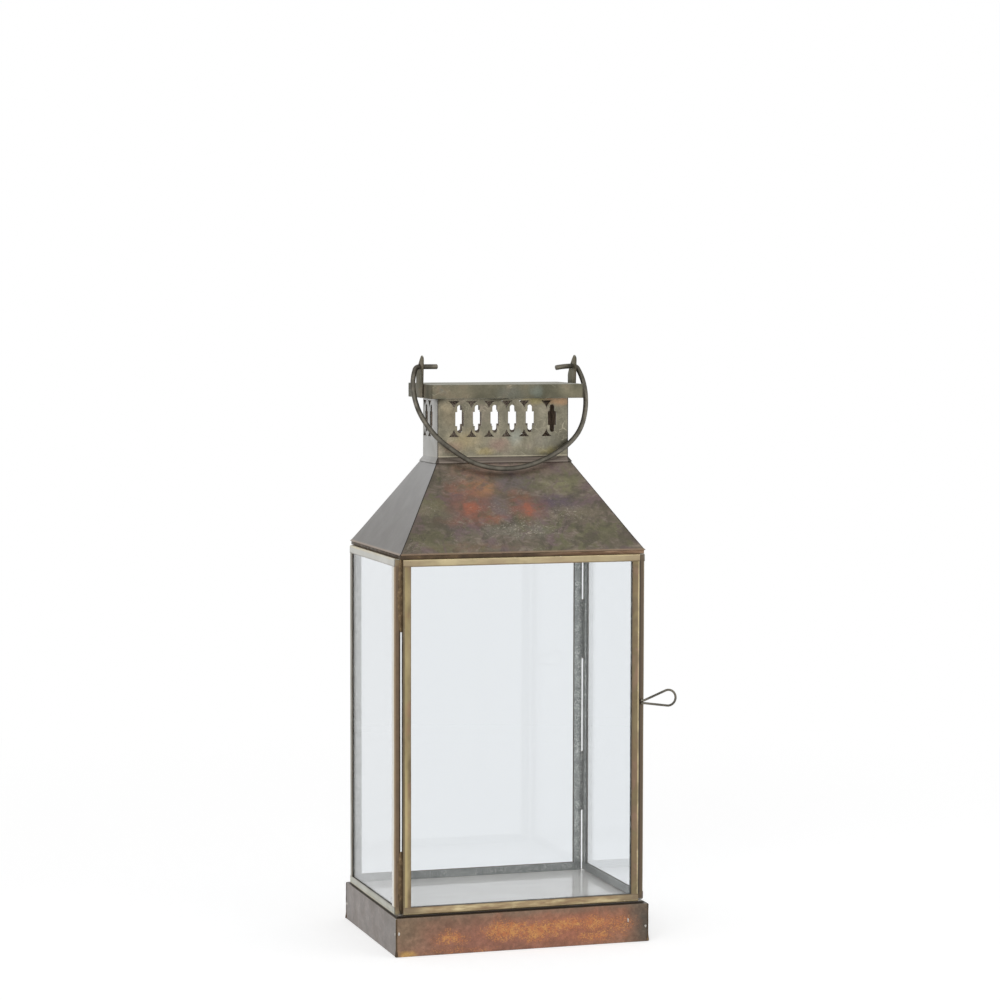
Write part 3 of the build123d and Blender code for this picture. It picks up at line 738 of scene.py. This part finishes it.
def solder_paint(name, dark, middle, pale):
    """Dull lumpy solder with pale flecks, dark where a run ends on the base."""
    paint = Paint(name, Metallic=0.75)
    paint.ground(paint.cloud(3, 5.0, 0.65), (0.35, *dark), (0.6, *middle), (0.78, *pale))
    paint.coat(pale, paint.ease(paint.cloud(1.3, 3.0, 0.7), 0.62, 0.7), 0.5)
    foot = paint.times(paint.ease(paint.z, *FOOT_HEIGHTS), paint.ease(paint.z, *FOOT_ENDS))
    paint.coat((44, 38, 30), foot, paint.ease(paint.cloud(4), 0.35, 0.6, 0.3, 0.8))
    return paint.finish(
        paint.ease(paint.cloud(2), 0.3, 0.7, 0.35, 0.6), (paint.cloud(1.4, 4.0), 0.12)
    )


def wire_paint():
    """Dark oxidised wire, rubbed lighter in places."""
    paint = Paint("dark_wire", Metallic=0.85)
    tone = paint.cloud(8, 4.0, 0.6)
    paint.ground(tone, (0.3, 76, 73, 65), (0.5, 96, 92, 83), (0.72, 122, 116, 104))
    paint.coat((140, 134, 118), paint.ease(paint.cloud(3, 4.0, 0.7), 0.6, 0.75), 0.4)
    return paint.finish(
        paint.ease(tone, 0.3, 0.7, 0.6, 0.45), (paint.cloud(6), 0.06), (paint.cloud(0.8), 0.02)
    )


def glass_paint(name, tint):
    """Clear cool pane with faint smears, which lets lamps through."""
    paint = Paint(name, Transmission_Weight=1.0, IOR=1.45, Base_Color=tint)
    smears = paint.cloud(30, place=paint.stretched(1.0, 1.0, 0.35))
    paint.set("Roughness", paint.ease(smears, 0.5, 0.8, 0.0, 0.02))
    paint.relief((paint.cloud(60, 1.0), 0.03))
    clear = paint.add("ShaderNodeBsdfTransparent", {"Color": PANE_SHADOW}).outputs[0]
    shadow = paint.add("ShaderNodeLightPath").outputs["Is Shadow Ray"]
    blend = {0: shadow, 1: paint.shader.outputs[0], 2: clear}
    paint.surface(paint.add("ShaderNodeMixShader", blend))
    return paint.material


# Meshes


def linked(name, data):
    """A new object in the scene."""
    item = bpy.data.objects.new(name, data)
    bpy.context.scene.collection.objects.link(item)
    return item


def make_piece(name, bm, material, body, replaced=(), angle=SHARP_EDGE):
    """Turns a built mesh into a piece that rides a body."""
    bmesh.ops.recalc_face_normals(bm, faces=bm.faces)
    mesh = bpy.data.meshes.new(name)
    bm.to_mesh(mesh)
    bm.free()
    if "custom_normal" in mesh.attributes:
        mesh.attributes.remove(mesh.attributes["custom_normal"])
    mesh.materials.clear()
    mesh.materials.append(material)
    mesh.set_sharp_from_angle(angle=angle)
    mesh.polygons.foreach_set("use_smooth", [face.area < FLAT_AREA for face in mesh.polygons])
    piece = linked(name, mesh)
    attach(piece, body)
    if replaced:
        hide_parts(*replaced)
    return piece


def layer(kind, name):
    """A named number on each vertex or face, for the materials to read."""
    return kind.layers.float.get(name) or kind.layers.float.new(name)


def bridge(bm, rings):
    """Faces between each ring of vertices and the next."""
    count = len(rings[0])
    for first, second in zip(rings, rings[1:]):
        for n in range(count):
            m = (n + 1) % count
            bm.faces.new((first[n], first[m], second[m], second[n]))


def close(bm, rings):
    """Bridged rings with both ends filled."""
    bridge(bm, rings)
    bm.faces.new(rings[0])
    bm.faces.new(rings[-1])


def channel_profile(thickness, face):
    """U outline from the outer lip round the web and back.

    Each point is (out, reach, edge, lip, inner, web).
    """
    half, wall, lip_r = thickness / 2, CHANNEL_WALL, CHANNEL_LIP
    points = []

    def flank(side, order):
        bend = CHANNEL_BENDS[side]
        high = face - lip_r
        reaches = [high - (high - bend) * n / FLANK_STEPS for n in range(FLANK_STEPS + 1)]
        for reach in reaches[::order]:
            edge = max(0.0, 1.0 - (reach - bend) / CHANNEL_WEAR)
            lip = max(0.0, 1.0 - (face - reach) / CHANNEL_SHADE)
            crown = CHANNEL_CROWN * math.sin(math.pi * (reach - bend) / (face - bend))
            points.append((side * (half + crown), reach, edge, lip, float(side < 0), 0.0))

    def arc(side, order):
        bend = CHANNEL_BENDS[side]
        edge, web = (1.0, 0.0) if side > 0 else (0.0, 0.9)
        for turn in [math.pi / 2 * n / BEND_STEPS for n in range(1, BEND_STEPS)][::order]:
            out, reach = half - bend + bend * math.cos(turn), bend - bend * math.sin(turn)
            points.append((side * out, reach, edge, 0.0, float(side < 0), web))

    flank(1, 1)
    arc(1, 1)
    for share, edge, web in WEB_POINTS:
        bend = CHANNEL_BENDS[1 if share > 0 else -1]
        points.append((share * (half - bend), 0.0, edge, 0.0, 0.0, web))
    arc(-1, -1)
    flank(-1, -1)
    for out, reach, inner in (
        (lip_r - half, face, 1.0),
        (wall - half - lip_r, face, 1.0),
        (wall - half, face - lip_r, 1.0),
        (wall - half, wall, 1.0),
        (half - wall, wall, 1.0),
        (half - wall, face - lip_r, 0.0),
        (half - wall + lip_r, face, 0.0),
        (half - lip_r, face, 0.0),
    ):
        points.append((out, reach, 0.0, 1.0, inner, 0.0))
    return points


def channel(node, outward, opening, material, body, closed):
    """Folded channel in place of a rail or stile, with its ends closed or open."""
    low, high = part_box(node)
    size, centre = high - low, (low + high) / 2
    along = Vector((abs(n) for n in outward.cross(opening)))
    length = size.dot(along)
    face = size.dot(Vector((abs(n) for n in opening)))
    thickness = size.dot(Vector((abs(n) for n in outward)))
    start = centre - along * length / 2 - opening * face / 2
    profile = channel_profile(thickness, face)
    steps = max(2, round(length / CHANNEL_STEP))
    bm = bmesh.new()
    layers = [layer(bm.verts, name) for name in ("edge", "lip", "inner", "web")]
    cut = layer(bm.faces, "cut")
    rings = []
    for step in range(steps + 1):
        run = length * step / steps
        spot = start + along * run
        calm = min(1.0, min(run, length - run) / CHANNEL_CALM)
        sway = CHANNEL_WAVE * calm * wobble(*spot, CHANNEL_SWAY_L)
        lift = CHANNEL_LIFT * calm * wobble(spot.y, spot.z, spot.x + 1, CHANNEL_LIFT_L)
        ring = []
        for out, reach, *values in profile:
            vert = bm.verts.new(spot + outward * (out + sway) + opening * (reach + lift))
            for key, value in zip(layers, values):
                vert[key] = value
            ring.append(vert)
        rings.append(ring)
    bridge(bm, rings)
    for ring in (rings[0][::-1], rings[-1]):
        bm.faces.new(ring)[cut] = CHANNEL_CUT
    if closed:
        for end, way in ((start, along), (start + along * length, -along)):
            end_wall(bm, end, way, outward, opening, thickness, face, layers[3])
    return make_piece("dressed_" + node, bm, material, body, [node])


def end_wall(bm, end, way, outward, opening, thickness, face, web):
    """Plug that closes the end of a rail, level with it."""
    wall, half = CHANNEL_WALL, thickness / 2 - CHANNEL_WALL
    outline = ((-half, wall), (half, wall), (half, face), (-half, face))
    rows = []
    for depth in (0.0, wall):
        row = [bm.verts.new(end + way * depth + outward * a + opening * b) for a, b in outline]
        for vert in row:
            vert[web] = 0.5
        rows.append(row)
        bm.faces.new(row)
    bridge(bm, rows)


def frame_channels(material):
    """All rails and stiles of the three fixed panels and the door."""
    for panel, (outward, sides, body) in PANELS.items():
        channel(panel + "_top_rail", outward, Vector((0, 0, -1)), material, body, True)
        channel(panel + "_bottom_rail", outward, Vector((0, 0, 1)), material, body, True)
        for side, sign in zip(sides, (1, -1)):
            opening = Vector((abs(outward.y), abs(outward.x), 0)) * sign
            channel(f"{panel}_{side}_stile", outward, opening, material, body, False)


def sheet(bm, point, across, rows, thickness, inward):
    """Curved sheet: a grid of points, a second one behind it, and the rim between them."""
    inner, cut = layer(bm.faces, "inner"), layer(bm.faces, "cut")
    down = len(rows) - 1
    front, back = skins = [
        [
            [bm.verts.new(point(j / across, share) + inward * depth) for j in range(across + 1)]
            for share in rows
        ]
        for depth in (0.0, thickness)
    ]
    for i in range(down):
        for j in range(across):
            for grid in skins:
                corners = (grid[i][j], grid[i][j + 1], grid[i + 1][j + 1], grid[i + 1][j])
                bm.faces.new(corners)[inner] = float(grid is back)
    rim = [(0, j) for j in range(across)] + [(i, across) for i in range(down)]
    rim += [(down, j) for j in range(across, 0, -1)] + [(i, 0) for i in range(down, 0, -1)]
    for (i, j), (k, m) in zip(rim, rim[1:] + rim[:1]):
        face = bm.faces.new((front[i][j], front[k][m], back[k][m], back[i][j]))
        face[cut] = 0.0 if i == k == 0 else 1.0


def roof_slope(name, material):
    """One slope; the end slopes run a little past the long ones and show their cut edge."""
    low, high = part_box("roof_" + name)
    front_low, front_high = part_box("roof_front")
    left_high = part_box("roof_left")[1]
    eave_x, eave_y, eave_z = front_high.x, -front_low.y, low.z
    top_x, top_y, top_z = -left_high.x, -front_high.y, high.z
    rise = top_z - eave_z
    lip_end = EAVE_LIP_H / rise
    long = name in ("front", "back")
    sign = -1 if name in ("front", "left") else 1
    run = (eave_y - top_y) if long else (eave_x - top_x)
    outward = Vector((0, sign * rise, run) if long else (sign * rise, 0, run)).normalized()

    def point(u, v):
        z = eave_z + rise * v
        half_x = eave_x + (top_x - eave_x) * v
        half_y = eave_y + (top_y - eave_y) * v
        if long:
            start, end = HIP_SHY - half_x, half_x - HIP_TIGHT
            spot = Vector((start + (end - start) * u, sign * half_y, z))
        else:
            spot = Vector((sign * half_x, (2 * u - 1) * (half_y + HIP_LAPS[name]), z))
        calm = min(1.0, ROOF_CALM * v) * min(1.0, ROOF_CALM * (1 - v))
        dent = ROOF_WAVE * calm * (wobble(*spot, ROOF_WAVE_L) - ROOF_HOLLOW)
        lip = EAVE_LIP * max(0.0, 1.0 - v / lip_end)
        return spot + outward * min(dent, ROOF_SWELL) + Vector((outward.x, outward.y, 0)) * lip

    rows = [0.0, 0.5 * lip_end, lip_end, 2 * lip_end]
    rows += [n / ROOF_ROWS for n in range(1, ROOF_ROWS + 1)]
    bm = bmesh.new()
    sheet(bm, point, ROOF_LONG_STEPS if long else ROOF_END_STEPS, rows, ROOF_SHEET, -outward)
    return make_piece("dressed_roof_" + name, bm, material, "lantern", ["roof_" + name])


def refined(node, material, body, bevel, segments=2, inside=None):
    """Copy of a CAD node's mesh with its edges eased, in the node's place."""
    bm = bmesh.new()
    bm.from_mesh(nodes[node].data)
    bmesh.ops.remove_doubles(bm, verts=bm.verts, dist=1e-7)
    bmesh.ops.dissolve_limit(bm, angle_limit=math.radians(1), verts=bm.verts, edges=bm.edges)
    sharp = [e for e in bm.edges if e.is_manifold and e.calc_face_angle(0) > EASED_EDGE]
    bmesh.ops.bevel(
        bm, geom=sharp, offset=bevel, segments=segments, profile=0.5, affect="EDGES", clamp_overlap=True
    )
    bm.normal_update()
    inner = layer(bm.faces, "inner")
    if inside:
        for face in bm.faces:
            face[inner] = float(inside(face))
    return make_piece("dressed_" + node, bm, material, body, [node])


def tube(bm, path, radius, sides=WIRE_SIDES):
    """Round wire along points, with eased ends; radius is a function of the share run."""
    rings = []
    normal = None
    for n, spot in enumerate(path):
        tangent = (path[min(n + 1, len(path) - 1)] - path[max(n - 1, 0)]).normalized()
        if normal is None:
            normal = tangent.orthogonal().normalized()
        normal = (normal - tangent * normal.dot(tangent)).normalized()
        binormal = tangent.cross(normal)
        width = radius(n / (len(path) - 1))
        ring = []
        for k in range(sides):
            turn = 2 * math.pi * k / sides
            way = math.cos(turn) * normal + math.sin(turn) * binormal
            ring.append(bm.verts.new(spot + width * way))
        rings.append(ring)
    bridge(bm, rings)
    for ring, inset in ((rings[0], path[0] - path[1]), (rings[-1], path[-1] - path[-2])):
        middle = sum((v.co for v in ring), Vector()) / sides
        tip = inset.normalized() * WIRE_TIP * (ring[0].co - middle).length
        cap = [bm.verts.new(middle + WIRE_TIP_WIDTH * (v.co - middle) + tip) for v in ring]
        bridge(bm, (ring, cap))
        bm.faces.new(cap)


def tangent_arc(start, heading, end, count):
    """Points after start of the arc that leaves it along a heading, and the arc's last heading."""
    chord = end - start
    lean = math.atan2(chord.y, chord.x) - heading
    lean = math.atan2(math.sin(lean), math.cos(lean))
    diameter = chord.length / math.sin(lean)
    points = []
    for n in range(1, count + 1):
        turn = lean * n / count
        way = Vector((math.cos(heading + turn), math.sin(heading + turn)))
        points.append(start + diameter * math.sin(turn) * way)
    return points, heading + 2 * lean


def lean_slope(knots, n):
    """Slope of a smooth run through the knots, at one of them."""
    (start, first), (end, last) = knots[max(n - 1, 0)], knots[min(n + 1, len(knots) - 1)]
    return (last - first) / (end - start)


def bail_skew(across, share):
    """Sideways lean of one side of the hand-bent bow at a share of its drop."""
    knots = BAIL_SKEW_LEFT if across < 0 else BAIL_SKEW_RIGHT
    n = max(k for k in range(len(knots) - 1) if knots[k][0] <= max(share, 0.0))
    (start, first), (end, last) = knots[n], knots[n + 1]
    part = min(1.0, max(0.0, (share - start) / (end - start)))
    leave, arrive = (lean_slope(knots, k) * (end - start) for k in (n, n + 1))
    rise = last - first
    bow = 3 * rise - 2 * leave - arrive + part * (leave + arrive - 2 * rise)
    return (first + part * (leave + part * bow)) * MM


def bail(material):
    """Hand-bent wire handle: two hooked ends and one smooth, slightly skewed bow."""
    joint = next(j for j in frame["joints"] if j["name"] == "bail_swing")
    pivot = Vector(joint["pos_m"])
    low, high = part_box("bail")
    half = high.x - BAIL_R
    drop = (pivot.z - low.z - BAIL_R) / math.cos(BAIL_REST)
    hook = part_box("cap")[1].x - BAIL_HOOK_FROM_END
    bow, heading = [Vector((0.0, drop))], 0.0
    for (across, down), count in zip(BAIL_SHAPE, BAIL_STEPS):
        end = Vector((half * across, drop * down))
        points, heading = tangent_arc(bow[-1], heading, end, count)
        bow += points
    turn = math.pi + heading
    bend = bow[-1].y / (1 - math.cos(turn))
    level = Vector((bow[-1].x - bend * math.sin(turn), 0.0))
    bow += tangent_arc(bow[-1], heading, level, HOOK_STEPS)[0]
    bow += [level.lerp(Vector((hook, 0.0)), n / HOOK_STEPS) for n in range(1, HOOK_STEPS + 1)]
    flat = [Vector((-p.x, p.y)) for p in bow[:0:-1]] + bow
    down_way = Vector((0, -math.sin(BAIL_REST), -math.cos(BAIL_REST)))
    path = []
    for across, down in flat:
        share = down / drop
        bent = BAIL_WAVE * min(1.0, 3 * share) * wobble(across, down, 0.3, BAIL_WAVE_L)
        on_hook = across > 0 and down < 1e-6
        droop = HOOK_DROOP * ((level.x - across) / (level.x - hook)) ** 2 if on_hook else 0.0
        spot = pivot + Vector((across + bail_skew(across, share), 0, -droop))
        path.append(spot + down_way * (down + bent))
    bm = bmesh.new()
    tube(bm, path, lambda share: BAIL_R)
    return make_piece("dressed_bail", bm, material, "bail", ["bail"])


def solder_run(bm, start, end, out_a, out_b, seed):
    """Lumpy fillet between two faces that meet at a line."""
    steps = max(4, round((end - start).length / SOLDER_STEP))
    rings = []
    for n in range(steps + 1):
        spot = start.lerp(end, n / steps)
        fade = min(1.0, 4 * min(n, steps - n) / steps + 0.35)
        lump = 1 + 0.35 * wobble(*(spot + Vector((seed, 0, 0))), SOLDER_LUMP_L)
        reach = SOLDER_LEG * fade * lump
        belly = 0.62 + 0.16 * wobble(spot.z, spot.x, seed, SOLDER_BELLY_L)
        ring = [spot, spot + out_a * reach]
        for share in (0.3, 0.5, 0.7):
            mixed = out_a * reach * (1 - share) + out_b * reach * share
            ring.append(spot + mixed * (belly + 0.3 * abs(share - 0.5) / 0.5 * (1 - belly)))
        ring.append(spot + out_b * reach)
        rings.append([bm.verts.new(p) for p in ring])
    close(bm, rings)


def corner_solder(node, material):
    """Solder down the outer corner of the left panel and its neighbour."""
    low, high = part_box(node)
    side = 1 if low.y > 0 else -1
    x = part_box(("front" if side < 0 else "back") + "_left_stile")[0].x
    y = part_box("left_front_stile")[0].y * -side
    runs = ((low.z, low.z + SOLDER_LOWER_L), (high.z - SOLDER_UPPER_L, high.z))
    bm = bmesh.new()
    for seed, (z0, z1) in enumerate(runs):
        ends = Vector((x, y, z0)), Vector((x, y, z1))
        solder_run(bm, *ends, Vector((-1, 0, 0)), Vector((0, side, 0)), seed)
    name = "dressed_" + node
    return make_piece(name, bm, material, "lantern", [node], SHARP_SOLDER)


def drop(bm, centre, outward, right, halves, height, seed):
    """Low uneven drop lying on a face, sunk a little into it."""
    half_a, half_b = halves
    up = outward.cross(right)
    rings = []
    for share, rise in DROP_RINGS:
        ring = []
        for k in range(DROP_SECTORS):
            turn = 2 * math.pi * k / DROP_SECTORS
            swell = 1 + 0.6 * wobble(math.cos(turn) + seed, math.sin(turn), seed * 0.7, 0.6)
            spot = right * (half_a * math.cos(turn)) + up * (half_b * math.sin(turn))
            ring.append(bm.verts.new(centre + spot * share * swell + outward * height * rise))
        rings.append(ring)
    close(bm, rings)


def base_corners():
    """Signs of the base's four corners along X and Y."""
    return [(sx, sy) for sx in (-1, 1) for sy in (-1, 1)]


def base_beads(material):
    """Solder drops that hold the base's corners, and one splash on the front."""
    low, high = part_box("base_pan")
    height = (low.z + high.z) / 2
    along_x, along_y = Vector((1, 0, 0)), Vector((0, 1, 0))
    bm = bmesh.new()
    seed = 0
    for sx, sy in base_corners():
        x, y = sx * high.x, sy * high.y
        lift = Vector((0, 0, BEAD_UP if sx * sy > 0 else BEAD_DOWN))
        side_spot = Vector((x, y - sy * BEAD_INSET, height)) + 0.8 * lift
        face_spot = Vector((x - sx * 0.8 * BEAD_INSET, y, height)) + lift
        drop(bm, side_spot, sx * along_x, along_y, SIDE_BEAD, BEAD_RISE, seed)
        drop(bm, face_spot, sy * along_y, along_x, FACE_BEAD, BEAD_RISE, seed + 1)
        seed += 2
    splash = Vector((SPLASH_X, low.y, SPLASH_Z))
    drop(bm, splash, -along_y, along_x, SPLASH, SPLASH_RISE, seed)
    node = "base_corner_beads"
    return make_piece("dressed_" + node, bm, material, "lantern", [node], SHARP_SOLDER)


def base_seams(material):
    """Narrow folded lip down each corner of the base, thicker at its foot."""
    low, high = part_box("base_pan")
    bm = bmesh.new()
    for sx, sy in base_corners():
        path = []
        for n in range(SEAM_STEPS + 1):
            z = low.z + SEAM_FOOT + (high.z - low.z - SEAM_TRIM) * n / SEAM_STEPS
            sway = SEAM_WAVE * wobble(sx, sy, z, SEAM_WAVE_L)
            x, y = high.x - SEAM_INSET + sway, high.y - SEAM_INSET + sway
            path.append(Vector((sx * x, sy * y, z)))
        tube(bm, path, lambda share: (0.55 + 0.5 * max(0.0, 1 - 6 * share)) * MM, SEAM_SIDES)
    return make_piece("base_corner_seams", bm, material, "lantern")


def faces_inward(face):
    """Whether a hinge's face looks into the lantern."""
    return face.normal.x < -0.3 or face.normal.y < -0.3


def dress_nodes(paints):
    """Eased copies of the CAD nodes whose shape needs nothing else."""
    refined("base_pan", paints["base"], "lantern", 0.5 * MM, 3)
    refined("floor_plate", paints["zinc"], "lantern", 0.15 * MM)
    refined("eave_frame", paints["eave"], "lantern", 0.2 * MM)
    refined("cap", paints["cap"], "lantern", 0.5 * MM, 3, lambda f: f.normal.z < -0.5)
    for name in ("left", "right"):
        refined(name + "_ear", paints["cap"], "lantern", 0.22 * MM)
    for name, axis, sign in (("front", 1, 1), ("back", 1, -1), ("left", 0, 1), ("right", 0, -1)):
        def inside(face, axis=axis, sign=sign):
            return face.normal[axis] * sign > 0.9
        refined("chimney_" + name, paints["chimney"], "lantern", 0.12 * MM, 2, inside)
    for name in ("upper", "lower"):
        for part, body in (("frame_leaf", "lantern"), ("pin", "lantern"), ("door_leaf", "door")):
            node = f"{name}_hinge_{part}"
            refined(node, paints["brass"], body, 0.12 * MM, 2, faces_inward)


def paint_node(node, material):
    """Puts a material on a CAD node that shows as it is."""
    mesh = nodes[node].data
    mesh.materials.clear()
    mesh.materials.append(material)


# Stage


def camera():
    """Camera at the photograph's viewpoint."""
    right = Vector((math.cos(CAMERA_AZIMUTH), math.sin(CAMERA_AZIMUTH), 0))
    level = math.cos(CAMERA_ABOVE)
    back = Vector((
        math.sin(CAMERA_AZIMUTH) * level, -math.cos(CAMERA_AZIMUTH) * level, math.sin(CAMERA_ABOVE)
    ))
    up = back.cross(right)
    x_axis = math.cos(CAMERA_ROLL) * right + math.sin(CAMERA_ROLL) * up
    y_axis = back.cross(x_axis)
    data = bpy.data.cameras.new("camera")
    data.lens = CAMERA_LENS
    data.sensor_width = CAMERA_SENSOR
    data.clip_start = CAMERA_NEAR
    item = linked("camera", data)
    turn = Matrix((x_axis, y_axis, back)).transposed()
    item.matrix_world = Matrix.Translation(CAMERA_PLACE) @ turn.to_4x4()
    bpy.context.scene.camera = item


def world():
    """Even soft light, white where it is seen."""
    item = bpy.data.worlds.new("studio")
    bpy.context.scene.world = item
    item.use_nodes = True
    tree = Tree(item.node_tree)
    span = {"Value": tree.seen_directly(), "To Min": WORLD_LIGHT, "To Max": 1.0}
    background = tree.nodes["Background"].inputs
    tree.put(background["Color"], WHITE)
    tree.put(background["Strength"], tree.add("ShaderNodeMapRange", span).outputs["Result"])


def floor():
    """Pale floor that fades to the white background and keeps the object's shadow."""
    half = FLOOR_HALF
    mesh = bpy.data.meshes.new("floor")
    corners = [(-half, -half, 0), (half, -half, 0), (half, half, 0), (-half, half, 0)]
    mesh.from_pydata(corners, [], [(0, 1, 2, 3)])
    item = linked("floor", mesh)
    item.location.z = -FLOOR_DROP
    paint = Paint("floor_white")
    seen = paint.seen_directly()
    near = paint.ease(paint.vector("LENGTH", paint.place), *FLOOR_FADE)
    share = paint.times(near, FLOOR_SHARE)
    shade = paint.mix(seen, FLOOR_GREY, BLACK)
    shown = paint.times(share, FLOOR_LIFT, seen)
    lit = paint.add("ShaderNodeBsdfDiffuse", {"Color": paint.mix(1.0, shade, shown, "ADD")})
    glow = paint.add("ShaderNodeEmission", {"Strength": paint.times(paint.rest(share), seen)})
    paint.surface(paint.add("ShaderNodeAddShader", {0: lit.outputs[0], 1: glow.outputs[0]}))
    mesh.materials.append(paint.material)


def softbox(name, place, watts):
    """Square area lamp aimed at the lantern."""
    data = bpy.data.lights.new(name, "AREA")
    data.shape = "SQUARE"
    data.size = LAMP_SIZE
    data.energy = watts
    item = linked(name, data)
    item.location = place
    item.rotation_mode = "QUATERNION"
    item.rotation_quaternion = (Vector(LAMP_AIM) - Vector(place)).to_track_quat("-Z", "Y")


def build():
    """Everything in order."""
    camera()
    world()
    floor()
    softbox("key", KEY_PLACE, KEY_WATTS)
    softbox("fill", FILL_PLACE, FILL_WATTS)
    brown = ((78, 64, 47), (110, 91, 66), (176, 158, 122))
    bright = ((170, 166, 160), (204, 200, 194), (232, 230, 226))
    paints = {
        "roof": roof_paint(),
        "chimney": chimney_paint(),
        "cap": cap_paint(),
        "base": base_paint(),
        "brass": brass_paint(),
        "zinc": zinc_paint(),
        "eave": eave_paint(),
        "wire": wire_paint(),
        "glass": glass_paint("pane_glass", PANE_TINT),
        "left_glass": glass_paint("left_pane_glass", LEFT_PANE_TINT),
        "brown_solder": solder_paint("brown_solder", *brown),
        "bright_solder": solder_paint("bright_solder", *bright),
    }
    frame_channels(paints["brass"])
    for name in ("front", "back", "left", "right"):
        roof_slope(name, paints["roof"])
    dress_nodes(paints)
    bail(paints["wire"])
    for node in ("front_left_solder", "back_left_solder"):
        corner_solder(node, paints["brown_solder"])
    base_beads(paints["bright_solder"])
    base_seams(paints["eave"])
    paint_node("door_pull", paints["wire"])
    paint_node("base_bottom", paints["zinc"])
    for panel in PANELS:
        paint_node(panel + "_glass", paints["left_glass" if panel == "left" else "glass"])


bpy.context.scene.view_settings.view_transform = "Standard"
build()
